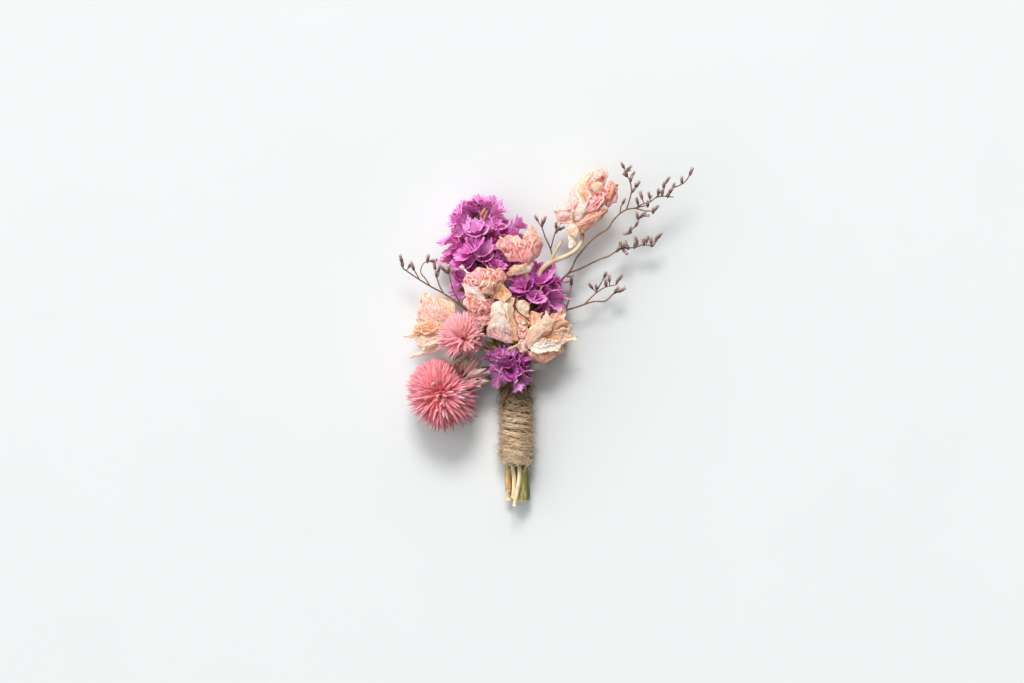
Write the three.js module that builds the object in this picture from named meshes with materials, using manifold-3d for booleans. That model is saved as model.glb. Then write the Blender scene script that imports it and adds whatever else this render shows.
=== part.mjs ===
// A boutonniere of dried flowers, bound with jute twine and lying on a table.
//
// Three globe amaranths, six larkspur florets, three heads of statice and two
// sprays of sea lavender stand on eleven cut stems, which one twine binding
// holds together. Millimetres, +Z up. The bound handle runs along Y. The
// origin is on the underside of the binding, near its middle, where the
// boutonniere rests on the table or against a lapel.

import * as THREE from "three";
import { mergeVertices } from "three/addons/utils/BufferGeometryUtils.js";
import Module from "manifold-3d";

const wasm = await Module();
wasm.setup();

// Driving dimensions of the binding
const TURN_PITCH = 2.3; // one turn of twine to the next
const TURNS = 12;
const TURN_CREST_R = 5.45; // binding radius over a turn
const TURN_VALLEY_R = 4.75; // binding radius between two turns
const TURN_SLANT = 0.09; // how far the turns fall to the right, per mm
const BINDING_BORE_R = 4.1;
const BINDING_SIDES = 12;
const BINDING_LOW_Y = -5.5 * TURN_PITCH; // a crest lies at the origin
const AXIS_HEIGHT = 5.05; // the bundle's middle above the table

// Driving dimensions of the bundle inside the binding
const OUTER_RING_R = 2.85; // eight stems stand on this ring
const INNER_RING_R = 0.9; // three thin stems stand on this one
const STEM_R = 0.93;
const THIN_STEM_R = 0.62;

// Working values
const GAP = 0.3; // clear space between two pieces that touch
const SLIVER = 0.03; // seams finer than this are smoothed away
const WELD = 1e-4; // points nearer than this are one point
const AMARANTH_ROOM = 0.94; // a head's clear ball, as a share of its reach
const STEM_SIDES = 6;
const WIRY_STEM_SIDES = 4;
const TWIG_SIDES = 3;
const RING_SPACING = 4.6; // along a stem
const TWIG_RING_SPACING = 5;
const BLADE_T = 0.7; // a dried petal with its creases

// Sea lavender buds
const BUD_R = 0.66;
const BUD_LENGTH = 2.6;
const BUD_BELLY = 0.9; // where it is widest
const BUD_ROOT = 0.6; // how deep it stands in its twig

// Seeded random numbers between low and high
function randomFrom(seed) {
  let state = seed;
  return (low, high) => {
    state = (state + 0x6d2b79f5) | 0;
    let t = Math.imul(state ^ (state >>> 15), 1 | state);
    t = (t + Math.imul(t ^ (t >>> 7), 61 | t)) ^ t;
    return low + (high - low) * (((t ^ (t >>> 14)) >>> 0) / 4294967296);
  };
}

const vec = (p) => new THREE.Vector3(...p);
const lerp = THREE.MathUtils.lerp;

// Two directions square to an axis and to each other. The hint is any
// direction that isn't along the axis.
function squareTo(axis, hint) {
  const across = vec(hint).cross(axis).normalize();
  return [across, new THREE.Vector3().crossVectors(axis, across)];
}

// Solids and meshes

function solidOf(geometry) {
  const bare = geometry.clone();
  bare.deleteAttribute("normal");
  bare.deleteAttribute("uv");
  const merged = mergeVertices(bare, WELD);
  return new wasm.Manifold(
    new wasm.Mesh({
      numProp: 3,
      vertProperties: new Float32Array(merged.attributes.position.array),
      triVerts: new Uint32Array(merged.index.array),
    }),
  );
}

const joined = (solids) => solids.reduce((whole, solid) => whole.add(solid));

// Without the slivers that joins and cuts leave along their seams
const trimmed = (solid) => solid.asOriginal().simplify(SLIVER);

// The body that is left after loose scraps have fallen off
function mainBody(solid) {
  const bodies = solid.decompose();
  return bodies.reduce((a, b) => (b.volume() > a.volume() ? b : a));
}

// A closed surface from rings of points. A ring of one point is a tip, and
// the other rings have as many points as each other.
function skin(rings) {
  const positions = rings.flat().flatMap((p) => [p.x, p.y, p.z]);
  const faces = [];
  let low = 0;
  rings.slice(1).forEach((ring, r) => {
    const below = rings[r].length;
    const high = low + below;
    for (let i = 0; i < Math.max(below, ring.length); i++) {
      const a = low + (i % below);
      const b = low + ((i + 1) % below);
      const c = high + ((i + 1) % ring.length);
      const d = high + (i % ring.length);
      if (a !== b) faces.push(a, b, c);
      if (c !== d) faces.push(a, c, d);
    }
    low = high;
  });
  for (let i = 1; i + 1 < rings[0].length; i++) faces.push(0, i + 1, i);
  for (let i = 1; i + 1 < rings.at(-1).length; i++)
    faces.push(low, low + i, low + i + 1);
  const geometry = new THREE.BufferGeometry();
  geometry.setAttribute(
    "position",
    new THREE.Float32BufferAttribute(positions, 3),
  );
  geometry.setIndex(faces);
  return geometry;
}

// Stems and twigs. Here and below, grow fattens a shape by that much, which
// gives the space that its neighbours keep clear of.

function ringAround(centre, across, along, radius, sides) {
  return Array.from({ length: sides }, (_, i) => {
    const turn = (2 * Math.PI * i) / sides;
    return centre
      .clone()
      .addScaledVector(across, radius * Math.cos(turn))
      .addScaledVector(along, radius * Math.sin(turn));
  });
}

// The smooth line through points, and how many steps it takes
function routeOf({ points, spacing }) {
  const curve = new THREE.CatmullRomCurve3(
    points.map(vec),
    false,
    "centripetal",
  );
  const steps = Math.max(2, Math.round(curve.getLength() / spacing));
  return { curve, steps };
}

// A tapering tube through points, with its radius given at equal steps. One
// that ends in a bud swells and closes to a tip.
function tube({ points, radii, sides, spacing, budded }, grow = 0) {
  const { curve, steps } = routeOf({ points, spacing });
  const frames = curve.computeFrenetFrames(steps, false);
  const rings = [];
  for (let s = 0; s <= steps; s++) {
    const at = (s / steps) * (radii.length - 1);
    const low = Math.min(Math.floor(at), radii.length - 2);
    const radius = lerp(radii[low], radii[low + 1], at - low) + grow;
    const centre = curve.getPointAt(s / steps);
    const end = s === 0 ? -grow : s === steps ? grow : 0;
    centre.addScaledVector(frames.tangents[s], end);
    rings.push(
      ringAround(centre, frames.normals[s], frames.binormals[s], radius, sides),
    );
  }
  if (budded) {
    const across = frames.normals[steps];
    const along = frames.binormals[steps];
    const spot = (reach) =>
      curve.getPoint(1).addScaledVector(frames.tangents[steps], reach);
    rings.pop();
    rings.push(
      ringAround(spot(0), across, along, radii.at(-1) + grow, sides),
      ringAround(spot(BUD_BELLY), across, along, BUD_R + grow, sides),
      [spot(BUD_LENGTH + 2 * grow)],
    );
  }
  return solidOf(skin(rings));
}

const stem = (points, radii) => ({
  points,
  radii,
  sides: STEM_SIDES,
  spacing: RING_SPACING,
});
const twig = (points, radii = [0.36, 0.3]) => ({
  points,
  radii,
  sides: TWIG_SIDES,
  spacing: TWIG_RING_SPACING,
  budded: true,
});

// Where a stem runs through the binding: the bundle's cross-section
const outerSlot = (degrees) => [
  OUTER_RING_R * Math.cos(THREE.MathUtils.degToRad(degrees)),
  AXIS_HEIGHT + OUTER_RING_R * Math.sin(THREE.MathUtils.degToRad(degrees)),
];
const innerSlot = (degrees) => [
  INNER_RING_R * Math.cos(THREE.MathUtils.degToRad(degrees)),
  AXIS_HEIGHT + INNER_RING_R * Math.sin(THREE.MathUtils.degToRad(degrees)),
];

// The stems run straight from just below the binding to just inside its top
const BINDING_HIGH_Y = BINDING_LOW_Y + TURNS * TURN_PITCH;
const STRAIGHT_LOW_Y = BINDING_LOW_Y - 0.4;
const STRAIGHT_HIGH_Y = BINDING_HIGH_Y - 0.3;

// A stem that comes from its cut end, through its slot and up to its flower
function boundStem([x, z], cutEnd, above, radii) {
  const middle = (STRAIGHT_LOW_Y + STRAIGHT_HIGH_Y) / 2;
  const through = [STRAIGHT_LOW_Y, middle, STRAIGHT_HIGH_Y].map((y) => [
    x,
    y,
    z,
  ]);
  return stem([...cutEnd, ...through, ...above], radii);
}

const boundTwig = (...route) => ({
  ...boundStem(...route),
  sides: WIRY_STEM_SIDES,
});

// Petals

// The half width of a petal along its length, as a share of its widest
const PETAL_OUTLINE = [0.26, 0.86, 1, 0.5];
const PETAL_COLUMNS = 2;
const PETAL_TIP_SHORT = -0.09; // its ragged tip, as a share of its length
const PETAL_TIP_LONG = 0.07;
const FOLD_ACROSS = 2.4; // how fast the folds turn, in radians over half its width
const FOLD_ALONG = 3; // and over its length

// A thin crinkled blade from root to tip. lift bulges it along its face,
// cup raises its sides and crinkle is the depth of its folds.
function petal(
  { root, tip, width, lift = 1.5, cup = 1, crinkle = 0.6, seed },
  grow = 0,
) {
  const random = randomFrom(seed);
  const from = vec(root);
  const axis = vec(tip).sub(from);
  const length = axis.length();
  axis.normalize();
  const up = new THREE.Vector3(0, 0, 1);
  up.addScaledVector(axis, -up.dot(axis)).normalize();
  const side = new THREE.Vector3().crossVectors(axis, up);
  const long = PETAL_OUTLINE.length - 1;
  const wide = PETAL_COLUMNS;
  const phase = random(0, Math.PI);
  const grid = [];
  for (let i = 0; i <= long; i++)
    for (let j = 0; j <= wide; j++) {
      const u = i / long;
      const v = (2 * j) / wide - 1;
      const ragged = i === long ? random(PETAL_TIP_SHORT, PETAL_TIP_LONG) : 0;
      const half = (PETAL_OUTLINE[i] * width) / 2 + grow;
      const end = i === 0 ? -grow : i === long ? grow : 0;
      const wave = phase + FOLD_ACROSS * v + FOLD_ALONG * u;
      const fold = crinkle * Math.sin(wave) * u;
      const rise = lift * Math.sin(Math.PI * u) + cup * v * v * u + fold;
      grid.push(
        from
          .clone()
          .addScaledVector(axis, length * u + end + ragged * length)
          .addScaledVector(side, half * v)
          .addScaledVector(up, rise),
      );
    }
  return solidOf(bladeOf(grid, long, wide, BLADE_T / 2 + grow));
}

// Both faces of a grid of points, set off along its own normals, and its rim
function bladeOf(grid, long, wide, offset) {
  const row = wide + 1;
  const at = (i, j) => grid[i * row + j];
  const normals = grid.map((_, k) => {
    const i = Math.floor(k / row);
    const j = k % row;
    const along = at(Math.min(i + 1, long), j)
      .clone()
      .sub(at(Math.max(i - 1, 0), j));
    const across = at(i, Math.min(j + 1, wide))
      .clone()
      .sub(at(i, Math.max(j - 1, 0)));
    return across.cross(along).normalize();
  });
  const top = grid.map((p, k) => p.clone().addScaledVector(normals[k], offset));
  const low = grid.map((p, k) =>
    p.clone().addScaledVector(normals[k], -offset),
  );
  const positions = [...top, ...low].flatMap((p) => [p.x, p.y, p.z]);
  const under = grid.length;
  const faces = [];
  for (let i = 0; i < long; i++)
    for (let j = 0; j < wide; j++) {
      const a = i * row + j;
      const [b, c, d] = [a + 1, a + row + 1, a + row];
      faces.push(a, b, c, a, c, d);
      faces.push(under + a, under + c, under + b);
      faces.push(under + a, under + d, under + c);
    }
  const rim = [];
  for (let j = 0; j < wide; j++) rim.push(j);
  for (let i = 0; i < long; i++) rim.push(i * row + wide);
  for (let j = wide; j > 0; j--) rim.push(long * row + j);
  for (let i = long; i > 0; i--) rim.push(i * row);
  rim.forEach((a, k) => {
    const b = rim[(k + 1) % rim.length];
    faces.push(a, under + a, under + b, a, under + b, b);
  });
  const geometry = new THREE.BufferGeometry();
  geometry.setAttribute(
    "position",
    new THREE.Float32BufferAttribute(positions, 3),
  );
  geometry.setIndex(faces);
  return geometry;
}

// Round cores that petals and bracts stand out of

function core(centre, radius, sides) {
  const ball = new THREE.SphereGeometry(radius, sides, Math.ceil(sides / 2));
  ball.translate(...centre);
  return solidOf(ball);
}

// Larkspur floret: its petals round a small calyx

const CALYX_R = 1.7;
const CALYX_SIDES = 6;
const PETAL_SEAT = 0.7; // how far out a petal starts, as a share of the calyx

function larkspurFloret({ root, petals, seed }, grow = 0) {
  return joined([
    core(root, CALYX_R + grow, CALYX_SIDES),
    ...petals.map(([tip, width, bends], i) => {
      const foot = vec(tip).sub(vec(root)).setLength(CALYX_R * PETAL_SEAT);
      foot.add(vec(root));
      return petal(
        { root: foot.toArray(), tip, width, seed: seed + i, ...bends },
        grow,
      );
    }),
  ]);
}

// Statice: papery funnels that stand on a core

const FUNNEL_LOBES = 5;
const FUNNEL_FOOT_R = 0.7;
const FUNNEL_PIT = 0.45; // how deep the mouth goes, as a share of the length
const FUNNEL_SMALLEST = 0.88; // mouths vary from this share of the radius
const FUNNEL_LARGEST = 1.12; // to this one
const FUNNEL_MOST_TURN = 2; // in radians, about its own axis

// A funnel grows from a spot below its mouth rather than from the nearest one:
// spots higher than this below it count as further off
const FOOT_DROP = 5;
const FOOT_LEANING = 0.6;
const SPOTS_ON_A_LINE = 24;

const STATICE_CORE_SIDES = 6;
const STATICE_CORE_SPACING = 6;

function funnel(mouth, foot, radius, turn, grow = 0) {
  const end = vec(mouth);
  const axis = end.clone().sub(vec(foot));
  const length = axis.length();
  axis.normalize();
  const [side] = squareTo(axis, [axis.y, -axis.x, 0.01]);
  const across = side.applyAxisAngle(axis, turn);
  const along = new THREE.Vector3().crossVectors(axis, across);
  const spot = (reach) => end.clone().addScaledVector(axis, reach);
  const ring = (reach, r) =>
    ringAround(spot(reach), across, along, r + grow, FUNNEL_LOBES);
  return solidOf(
    skin([
      ring(-length - grow, FUNNEL_FOOT_R),
      ring(grow, radius),
      [spot(grow - FUNNEL_PIT * length)],
    ]),
  );
}

// The spot on the head's middle lines that a funnel grows from
function footOn(lines, mouth) {
  const curves = lines.map((line) => new THREE.CatmullRomCurve3(line.map(vec)));
  const spots = curves.flatMap((curve) => curve.getPoints(SPOTS_ON_A_LINE));
  const end = vec(mouth);
  const above = (p) => Math.max(0, p.y - end.y + FOOT_DROP);
  const away = (p) => p.distanceTo(end) + FOOT_LEANING * above(p);
  return spots.reduce((a, b) => (away(b) < away(a) ? b : a)).toArray();
}

function staticeHead({ lines, coreRadii, mouths, radius, seed }, grow = 0) {
  const random = randomFrom(seed);
  const middles = lines.map((points) => ({
    points,
    radii: coreRadii,
    sides: STATICE_CORE_SIDES,
    spacing: STATICE_CORE_SPACING,
  }));
  return joined([
    ...middles.map((middle) => tube(middle, grow)),
    ...mouths.map((mouth) =>
      funnel(
        mouth,
        footOn(lines, mouth),
        radius * random(FUNNEL_SMALLEST, FUNNEL_LARGEST),
        random(0, FUNNEL_MOST_TURN),
        grow,
      ),
    ),
  ]);
}

// Globe amaranth: pointed bracts all over a core, which lean to its crown

const AMARANTH_CORE_SIDES = 9;
const BRACT_SIDES = 3;
const BRACT_FOOT = 0.6; // the radius of a bract's foot, as a share of its width
const BRACT_SEAT = 0.8; // where it starts, as a share of the core's radius
const BRACT_LEAN = 0.28; // how much it leans to the crown
const BRACT_SHORTEST = 0.86; // bracts vary from this share of the reach
const BRACT_LONGEST = 1.02; // to this one
const BRACTED = 0.93; // the share of the core, from its crown, that has bracts

function spike(from, to, width) {
  const axis = to.clone().sub(from).normalize();
  const [across, along] = squareTo(axis, [0.3, 0.2, 1]);
  const foot = ringAround(from, across, along, width * BRACT_FOOT, BRACT_SIDES);
  return solidOf(skin([foot, [to]]));
}

// Points spread evenly over a sphere
function spread(count) {
  const golden = Math.PI * (3 - Math.sqrt(5));
  return Array.from({ length: count }, (_, i) => {
    const z = 1 - (2 * i + 1) / count;
    const r = Math.sqrt(1 - z * z);
    return new THREE.Vector3(
      r * Math.cos(i * golden),
      r * Math.sin(i * golden),
      z,
    );
  });
}

function amaranthHead({ centre, crown, coreR, reach, bracts, width, seed }) {
  const random = randomFrom(seed);
  const middle = vec(centre);
  const top = vec(crown).normalize();
  const upright = new THREE.Quaternion().setFromUnitVectors(
    new THREE.Vector3(0, 0, 1),
    top,
  );
  const leaned = spread(bracts)
    .slice(0, Math.round(bracts * BRACTED))
    .map((out) => {
      const away = out.clone().applyQuaternion(upright);
      const toward = away.clone().addScaledVector(top, BRACT_LEAN).normalize();
      const length = reach * random(BRACT_SHORTEST, BRACT_LONGEST);
      const foot = middle.clone().addScaledVector(away, coreR * BRACT_SEAT);
      const tip = middle.clone().addScaledVector(toward, length);
      return spike(foot, tip, width);
    });
  return joined([core(centre, coreR, AMARANTH_CORE_SIDES), ...leaned]);
}

// Sea lavender: wiry twigs with small buds

function bud(base, toward, grow = 0) {
  const axis = vec(toward).normalize();
  const [across, along] = squareTo(axis, [0.1, 0.2, 1]);
  const spot = (reach) => base.clone().addScaledVector(axis, reach);
  const belly = ringAround(
    spot(BUD_BELLY),
    across,
    along,
    BUD_R + grow,
    TWIG_SIDES,
  );
  const tip = spot(BUD_LENGTH + 2 * grow);
  return solidOf(skin([[spot(-BUD_ROOT - grow)], belly, [tip]]));
}

// The point of some lines that is nearest to a spot
function seatOn(lines, spot) {
  const seats = lines.flatMap((line) =>
    line
      .slice(1)
      .map((end, i) =>
        new THREE.Line3(line[i], end).closestPointToPoint(
          spot,
          true,
          new THREE.Vector3(),
        ),
      ),
  );
  return seats.reduce((a, b) =>
    b.distanceTo(spot) < a.distanceTo(spot) ? b : a,
  );
}

// Each twig starts on the ones before it, and each bud sits on a twig
function spray({ twigs, buds }, grow = 0) {
  const lines = [];
  const tubes = twigs.map((shape) => {
    const points = shape.points.map(vec);
    if (lines.length) points[0] = seatOn(lines, points[0]);
    const seated = { ...shape, points: points.map((p) => p.toArray()) };
    const { curve, steps } = routeOf(seated);
    lines.push(curve.getSpacedPoints(steps));
    return tube(seated, grow);
  });
  const seatedBuds = buds.map(([at, toward]) =>
    bud(seatOn(lines, vec(at)), toward, grow),
  );
  return joined([...tubes, ...seatedBuds]);
}

// The binding: turns of twine side by side round the bundle

function binding() {
  const profile = [new THREE.Vector2(BINDING_BORE_R, 0)];
  for (let turn = 0; turn < TURNS; turn++)
    profile.push(
      new THREE.Vector2(TURN_VALLEY_R, turn * TURN_PITCH),
      new THREE.Vector2(TURN_CREST_R, (turn + 0.5) * TURN_PITCH),
    );
  const length = TURNS * TURN_PITCH;
  profile.push(
    new THREE.Vector2(TURN_VALLEY_R, length),
    new THREE.Vector2(BINDING_BORE_R, length),
    profile[0],
  );
  const turned = new THREE.LatheGeometry(profile, BINDING_SIDES);
  const slant = new THREE.Matrix4().set(
    ...[1, 0, 0, 0],
    ...[-TURN_SLANT, 1, 0, 0],
    ...[0, 0, 1, 0],
    ...[0, 0, 0, 1],
  );
  turned.applyMatrix4(slant);
  turned.rotateY(Math.PI / BINDING_SIDES);
  turned.translate(0, BINDING_LOW_Y, AXIS_HEIGHT);
  return solidOf(turned);
}

// The eleven stems, from cut end to flower

const STEMS = {
  amaranth_small_stem: boundStem(
    outerSlot(112.5),
    [
      [-0.9, -24.5, 6.9],
      [-0.6, -18.5, 7.3],
    ],
    [
      [-2.9, 18.5, 8],
      [-7.2, 23.3, 9.2],
      [-11.2, 26.3, 11.4],
      [-13.5, 28, 13.4],
    ],
    [0.66, 0.66, 0.7, 0.7],
  ),
  larkspur_middle_stem: boundStem(
    outerSlot(67.5),
    [
      [-0.5, -27, 9.3],
      [0.2, -23, 9.2],
      [1.2, -17, 8.4],
    ],
    [
      [1.6, 18, 8.2],
      [1.4, 22, 8.4],
      [0, 28, 9.2],
      [-3, 35, 9.9],
      [-6, 40, 10.2],
      [-9.9, 44.3, 12.3],
    ],
    [0.6, 0.66, 0.8, 0.8],
  ),
  amaranth_third_stem: boundStem(
    outerSlot(157.5),
    [[-2.6, -22.2, 6.3]],
    [
      [-2.7, 16.2, 6.2],
      [-4.2, 18.4, 6.8],
      [-7.4, 19.6, 7.1],
      [-12, 19.8, 7.2],
    ],
    [0.95, STEM_R, 0.8, 0.66],
  ),
  amaranth_big_stem: boundStem(
    outerSlot(-157.5),
    [[-2.4, -25.4, 4.1]],
    [
      [-2.65, 16.2, 4.05],
      [-4.3, 17.6, 3.9],
      [-8, 17, 4.4],
      [-12.4, 15.2, 6.8],
      [-18.2, 13.4, 10],
    ],
    [0.9, STEM_R, STEM_R, 0.8],
  ),
  larkspur_right_stem: boundStem(
    outerSlot(22.5),
    [
      [2.3, -25.8, 6.3],
      [2.4, -19, 6.2],
    ],
    [
      [3.1, 24, 6.9],
      [4.6, 36, 8.2],
      [6.2, 46, 10],
      [8.6, 53.3, 12.4],
      [12, 56, 12.6],
      [17, 58, 12.2],
      [20.6, 60.4, 11.6],
      [22.2, 63, 11.3],
      [22.6, 66, 11.6],
    ],
    [1.3, STEM_R, STEM_R, 0.8, 0.66],
  ),
  statice_right_stem: boundStem(
    outerSlot(-22.5),
    [
      [4, -25.3, 4.5],
      [3.7, -19, 4.4],
    ],
    [
      [4.6, 24, 4],
      [6.4, 32, 4.6],
      [7.3, 38.6, 5.6],
      [7.4, 42.4, 6.8],
    ],
    [0.74, STEM_R, STEM_R, 0.8],
  ),
  larkspur_left_stem: boundStem(
    outerSlot(-112.5),
    [[-1.2, -24, 2.3]],
    [
      [-3.4, 20, 2.3],
      [-9.2, 25.5, 2.4],
      [-16.2, 29, 3.2],
      [-22, 32.6, 6.4],
    ],
    [STEM_R, STEM_R, 0.85, 0.66],
  ),
  statice_low_stem: boundStem(
    innerSlot(90),
    [[0, -23.4, 5.9]],
    [
      [-0.1, 16, 6.4],
      [-0.3, 17.8, 7.7],
      [-0.8, 19, 9.3],
    ],
    [THIN_STEM_R, THIN_STEM_R],
  ),
  statice_main_stem: boundStem(
    innerSlot(330),
    [[0.9, -24.6, 4.5]],
    [
      [0.2, 22, 4.3],
      [-2.4, 32, 4],
      [-5.8, 42, 4.8],
      [-8.2, 48.6, 6.2],
      [-9.1, 52, 7.4],
    ],
    [THIN_STEM_R, THIN_STEM_R, 0.8, STEM_R],
  ),
};

// Short side stalks that belong to the larkspur stems
const SIDE_STALKS = {
  larkspur_right_stem: [
    stem(
      [
        [5.9, 45, 9.9],
        [4.2, 50, 12],
        [3, 55.2, 14.4],
      ],
      [0.7, 0.6],
    ),
    stem(
      [
        [11.4, 55.7, 12.6],
        [13.4, 59.6, 12.8],
        [15.6, 63.2, 12.6],
      ],
      [0.6, 0.5],
    ),
  ],
  larkspur_middle_stem: [
    stem(
      [
        [0.2, 27, 9],
        [1.2, 28.6, 10.2],
        [3, 30.2, 11.2],
      ],
      [0.6, 0.55],
    ),
    stem(
      [
        [0.3, 26.2, 8.9],
        [-0.6, 27, 11.4],
        [-2.4, 26.6, 13.6],
      ],
      [0.6, 0.6],
    ),
    stem(
      [
        [-1.4, 31.6, 9.5],
        [-2.2, 32.3, 11.6],
      ],
      [0.6, 0.55],
    ),
  ],
};

// Sea lavender sprays, each with its stem. A bud is its foot and its lean.

const RIGHT_SPRAY = {
  twigs: [
    boundTwig(
      outerSlot(-67.5),
      [[1.2, -24.8, 2.5]],
      [
        [2.6, 22, 2.2],
        [6.2, 32, 2.3],
        [10.4, 41, 3.6],
        [15.4, 49.8, 6.4],
        [18.2, 53, 7.6],
        [21, 58, 9],
        [24, 61.8, 9.4],
        [27.6, 65, 10],
        [31.3, 67.6, 10.6],
        [33, 70.3, 11],
        [35.8, 72.8, 11.4],
        [38, 74, 11.8],
        [40.4, 74.3, 12],
      ],
      [0.6, 0.5, 0.45, 0.4, 0.36],
    ),
    twig([
      [35.4, 72.5, 11.3],
      [35.6, 75.2, 11.8],
    ]),
    twig([
      [37.7, 73.9, 11.7],
      [38.5, 77, 12.6],
      [39, 80, 13],
      [38.6, 83.2, 13.4],
      [37.3, 86, 13.6],
      [36.4, 88.2, 13.8],
    ]),
    twig([
      [39, 79.6, 13],
      [40.8, 82, 13.4],
    ]),
    twig([
      [40, 74.2, 12],
      [43, 75, 12.6],
      [44.6, 75.2, 13],
    ]),
    twig([
      [40.2, 74.2, 12],
      [43, 73.6, 11.6],
      [46.6, 73.3, 11.8],
    ]),
    twig([
      [43.6, 73.4, 11.6],
      [42, 71, 11],
      [40.7, 68.5, 10.4],
      [38.8, 66.5, 9.8],
    ]),
    twig([
      [40.2, 74.6, 12.2],
      [42.6, 75.6, 13.2],
      [45.5, 76.4, 13.4],
      [47.5, 77.8, 13.6],
      [50, 78.2, 13.6],
      [53.2, 78, 13.4],
    ]),
    twig([
      [47.2, 77.6, 13.6],
      [49.4, 80.2, 14.2],
      [50.4, 82.4, 14.6],
    ]),
    twig([
      [50.6, 78.2, 13.6],
      [53, 80.8, 14],
      [55.4, 81.8, 14.2],
      [57.2, 83, 14.4],
      [58.2, 84.4, 14.5],
    ]),
    twig([
      [17.9, 52.8, 7.5],
      [22, 54, 7.4],
      [27, 56.4, 7.4],
      [32, 58.4, 7.8],
      [35, 60.3, 8.2],
      [37, 60.9, 8.4],
      [40.3, 61, 8.6],
      [43, 61.9, 8.8],
      [46.2, 62, 9],
      [47.4, 63.4, 9.2],
    ]),
    twig(
      [
        [6, 31.4, 2.3],
        [11.4, 35.4, 3.2],
        [15, 38.2, 5],
        [17, 39.6, 6],
        [22, 41.3, 7],
        [26.6, 42.7, 7.6],
        [30.5, 42.9, 7.8],
        [33.4, 45.4, 8],
      ],
      [0.42, 0.32],
    ),
    twig([
      [16.8, 39.5, 6],
      [18.2, 44, 6.4],
      [18.8, 48.2, 5.4],
    ]),
    twig([
      [23.6, 41.9, 7.2],
      [27.4, 45.7, 8.2],
      [30.7, 47.7, 8.6],
      [34, 48.5, 9],
    ]),
    twig([
      [27.2, 45.5, 8.1],
      [29.2, 49.4, 9],
    ]),
    twig(
      [
        [9.8, 39.8, 3.4],
        [12.6, 49, 2.6],
        [13.2, 55, 3.4],
        [11.8, 61, 5.6],
        [9.8, 65, 7],
        [8.9, 67.8, 7.6],
      ],
      [0.4, 0.32],
    ),
    twig([
      [11.9, 60.7, 5.5],
      [13, 65.4, 7],
      [13.6, 67, 7.4],
    ]),
  ],
  buds: [
    [[37.2, 86.2, 13.6], [0.7, 1, 0.2]],
    [[38.2, 84.4, 13.5], [-0.9, 0.8, 0.2]],
    [[38.7, 82.6, 13.4], [0.6, 1, 0.4]],
    [[40.4, 74.4, 12.2], [0.3, 1, 0.3]],
    [[42.2, 75.4, 13], [0.1, 1, 0.3]],
    [[43.4, 73, 11.5], [0.7, -0.5, 0.3]],
    [[42.2, 71.2, 11], [0.8, 0.8, -0.2]],
    [[40.8, 68.6, 10.5], [0.3, 1, -0.1]],
    [[47.4, 77.6, 13.6], [0.2, 1, 0.2]],
    [[49.2, 79.9, 14.2], [-0.3, 1, 0.1]],
    [[51.4, 79.2, 13.7], [0.1, 1, 0.3]],
    [[53, 80.7, 14], [0.1, 1, 0.5]],
    [[55.4, 81.8, 14.2], [0.3, 1, 0.3]],
    [[35, 60.3, 8.2], [0.1, 1, 0.3]],
    [[36.8, 60.9, 8.4], [-0.3, 1, 0.5]],
    [[36, 60.6, 8.3], [0.9, -0.6, 0.2]],
    [[40.2, 61, 8.6], [0.2, 1, 0.3]],
    [[43, 61.8, 8.8], [0.2, 1, 0.2]],
    [[45, 62, 8.9], [0.4, 1, 0.3]],
    [[33, 45, 8], [0.9, 0.2, 0.1]],
    [[33.4, 48.4, 9], [0.3, 1, 0.2]],
    [[30.7, 47.6, 8.6], [0.1, 1, 0.3]],
    [[27.4, 45.7, 8.2], [-0.8, 0.8, 0.1]],
    [[9.2, 67, 7.5], [-0.8, 1, 0.1]],
    [[13.2, 66, 7.1], [1, 0.5, -0.1]],
  ],
};

const LEFT_SPRAY = {
  twigs: [
    boundTwig(
      innerSlot(210),
      [[-0.6, -23, 4.3]],
      [
        [-2, 20, 5.1],
        [-6, 27, 5.8],
        [-11.6, 34, 6.6],
        [-17.6, 40.4, 8],
        [-21, 43, 9],
        [-25, 45.6, 10],
        [-29, 47.8, 10.6],
        [-33, 50.1, 11.2],
        [-36, 52.3, 11.6],
        [-38.2, 53.8, 12],
      ],
      [0.5, 0.45, 0.4, 0.34],
    ),
    twig([
      [-24.7, 45.4, 10],
      [-26, 48, 11],
      [-26.9, 51, 12],
    ]),
    twig([
      [-28.8, 47.7, 10.6],
      [-30.8, 50.3, 11.6],
      [-32.3, 52.4, 12.2],
      [-31.4, 55.4, 12.8],
      [-29.4, 56.4, 13],
    ]),
    twig([
      [-32.8, 50, 11.2],
      [-34.4, 53, 12],
    ]),
    twig([
      [-18.4, 41, 8.3],
      [-20.6, 45, 10.6],
      [-22.2, 49.4, 12.4],
      [-22.7, 52, 13],
    ]),
  ],
  buds: [
    [[-38.1, 53.7, 12], [-0.1, 1, 0.1]],
    [[-38.2, 53.8, 12], [-0.9, 0.7, 0.2]],
    [[-35.8, 52.1, 11.6], [-0.1, 1, 0.3]],
    [[-31.9, 54.2, 12.6], [0.2, 1, 0.4]],
    [[-26.8, 50.6, 11.9], [0.6, 1, 0.2]],
    [[-26.4, 49.4, 11.5], [1, 0.6, 0.2]],
  ],
};

const SPRAYS = {
  sea_lavender_right: RIGHT_SPRAY,
  sea_lavender_left: LEFT_SPRAY,
};

// Larkspur florets. A petal is its tip, its width and what bends it.

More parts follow.
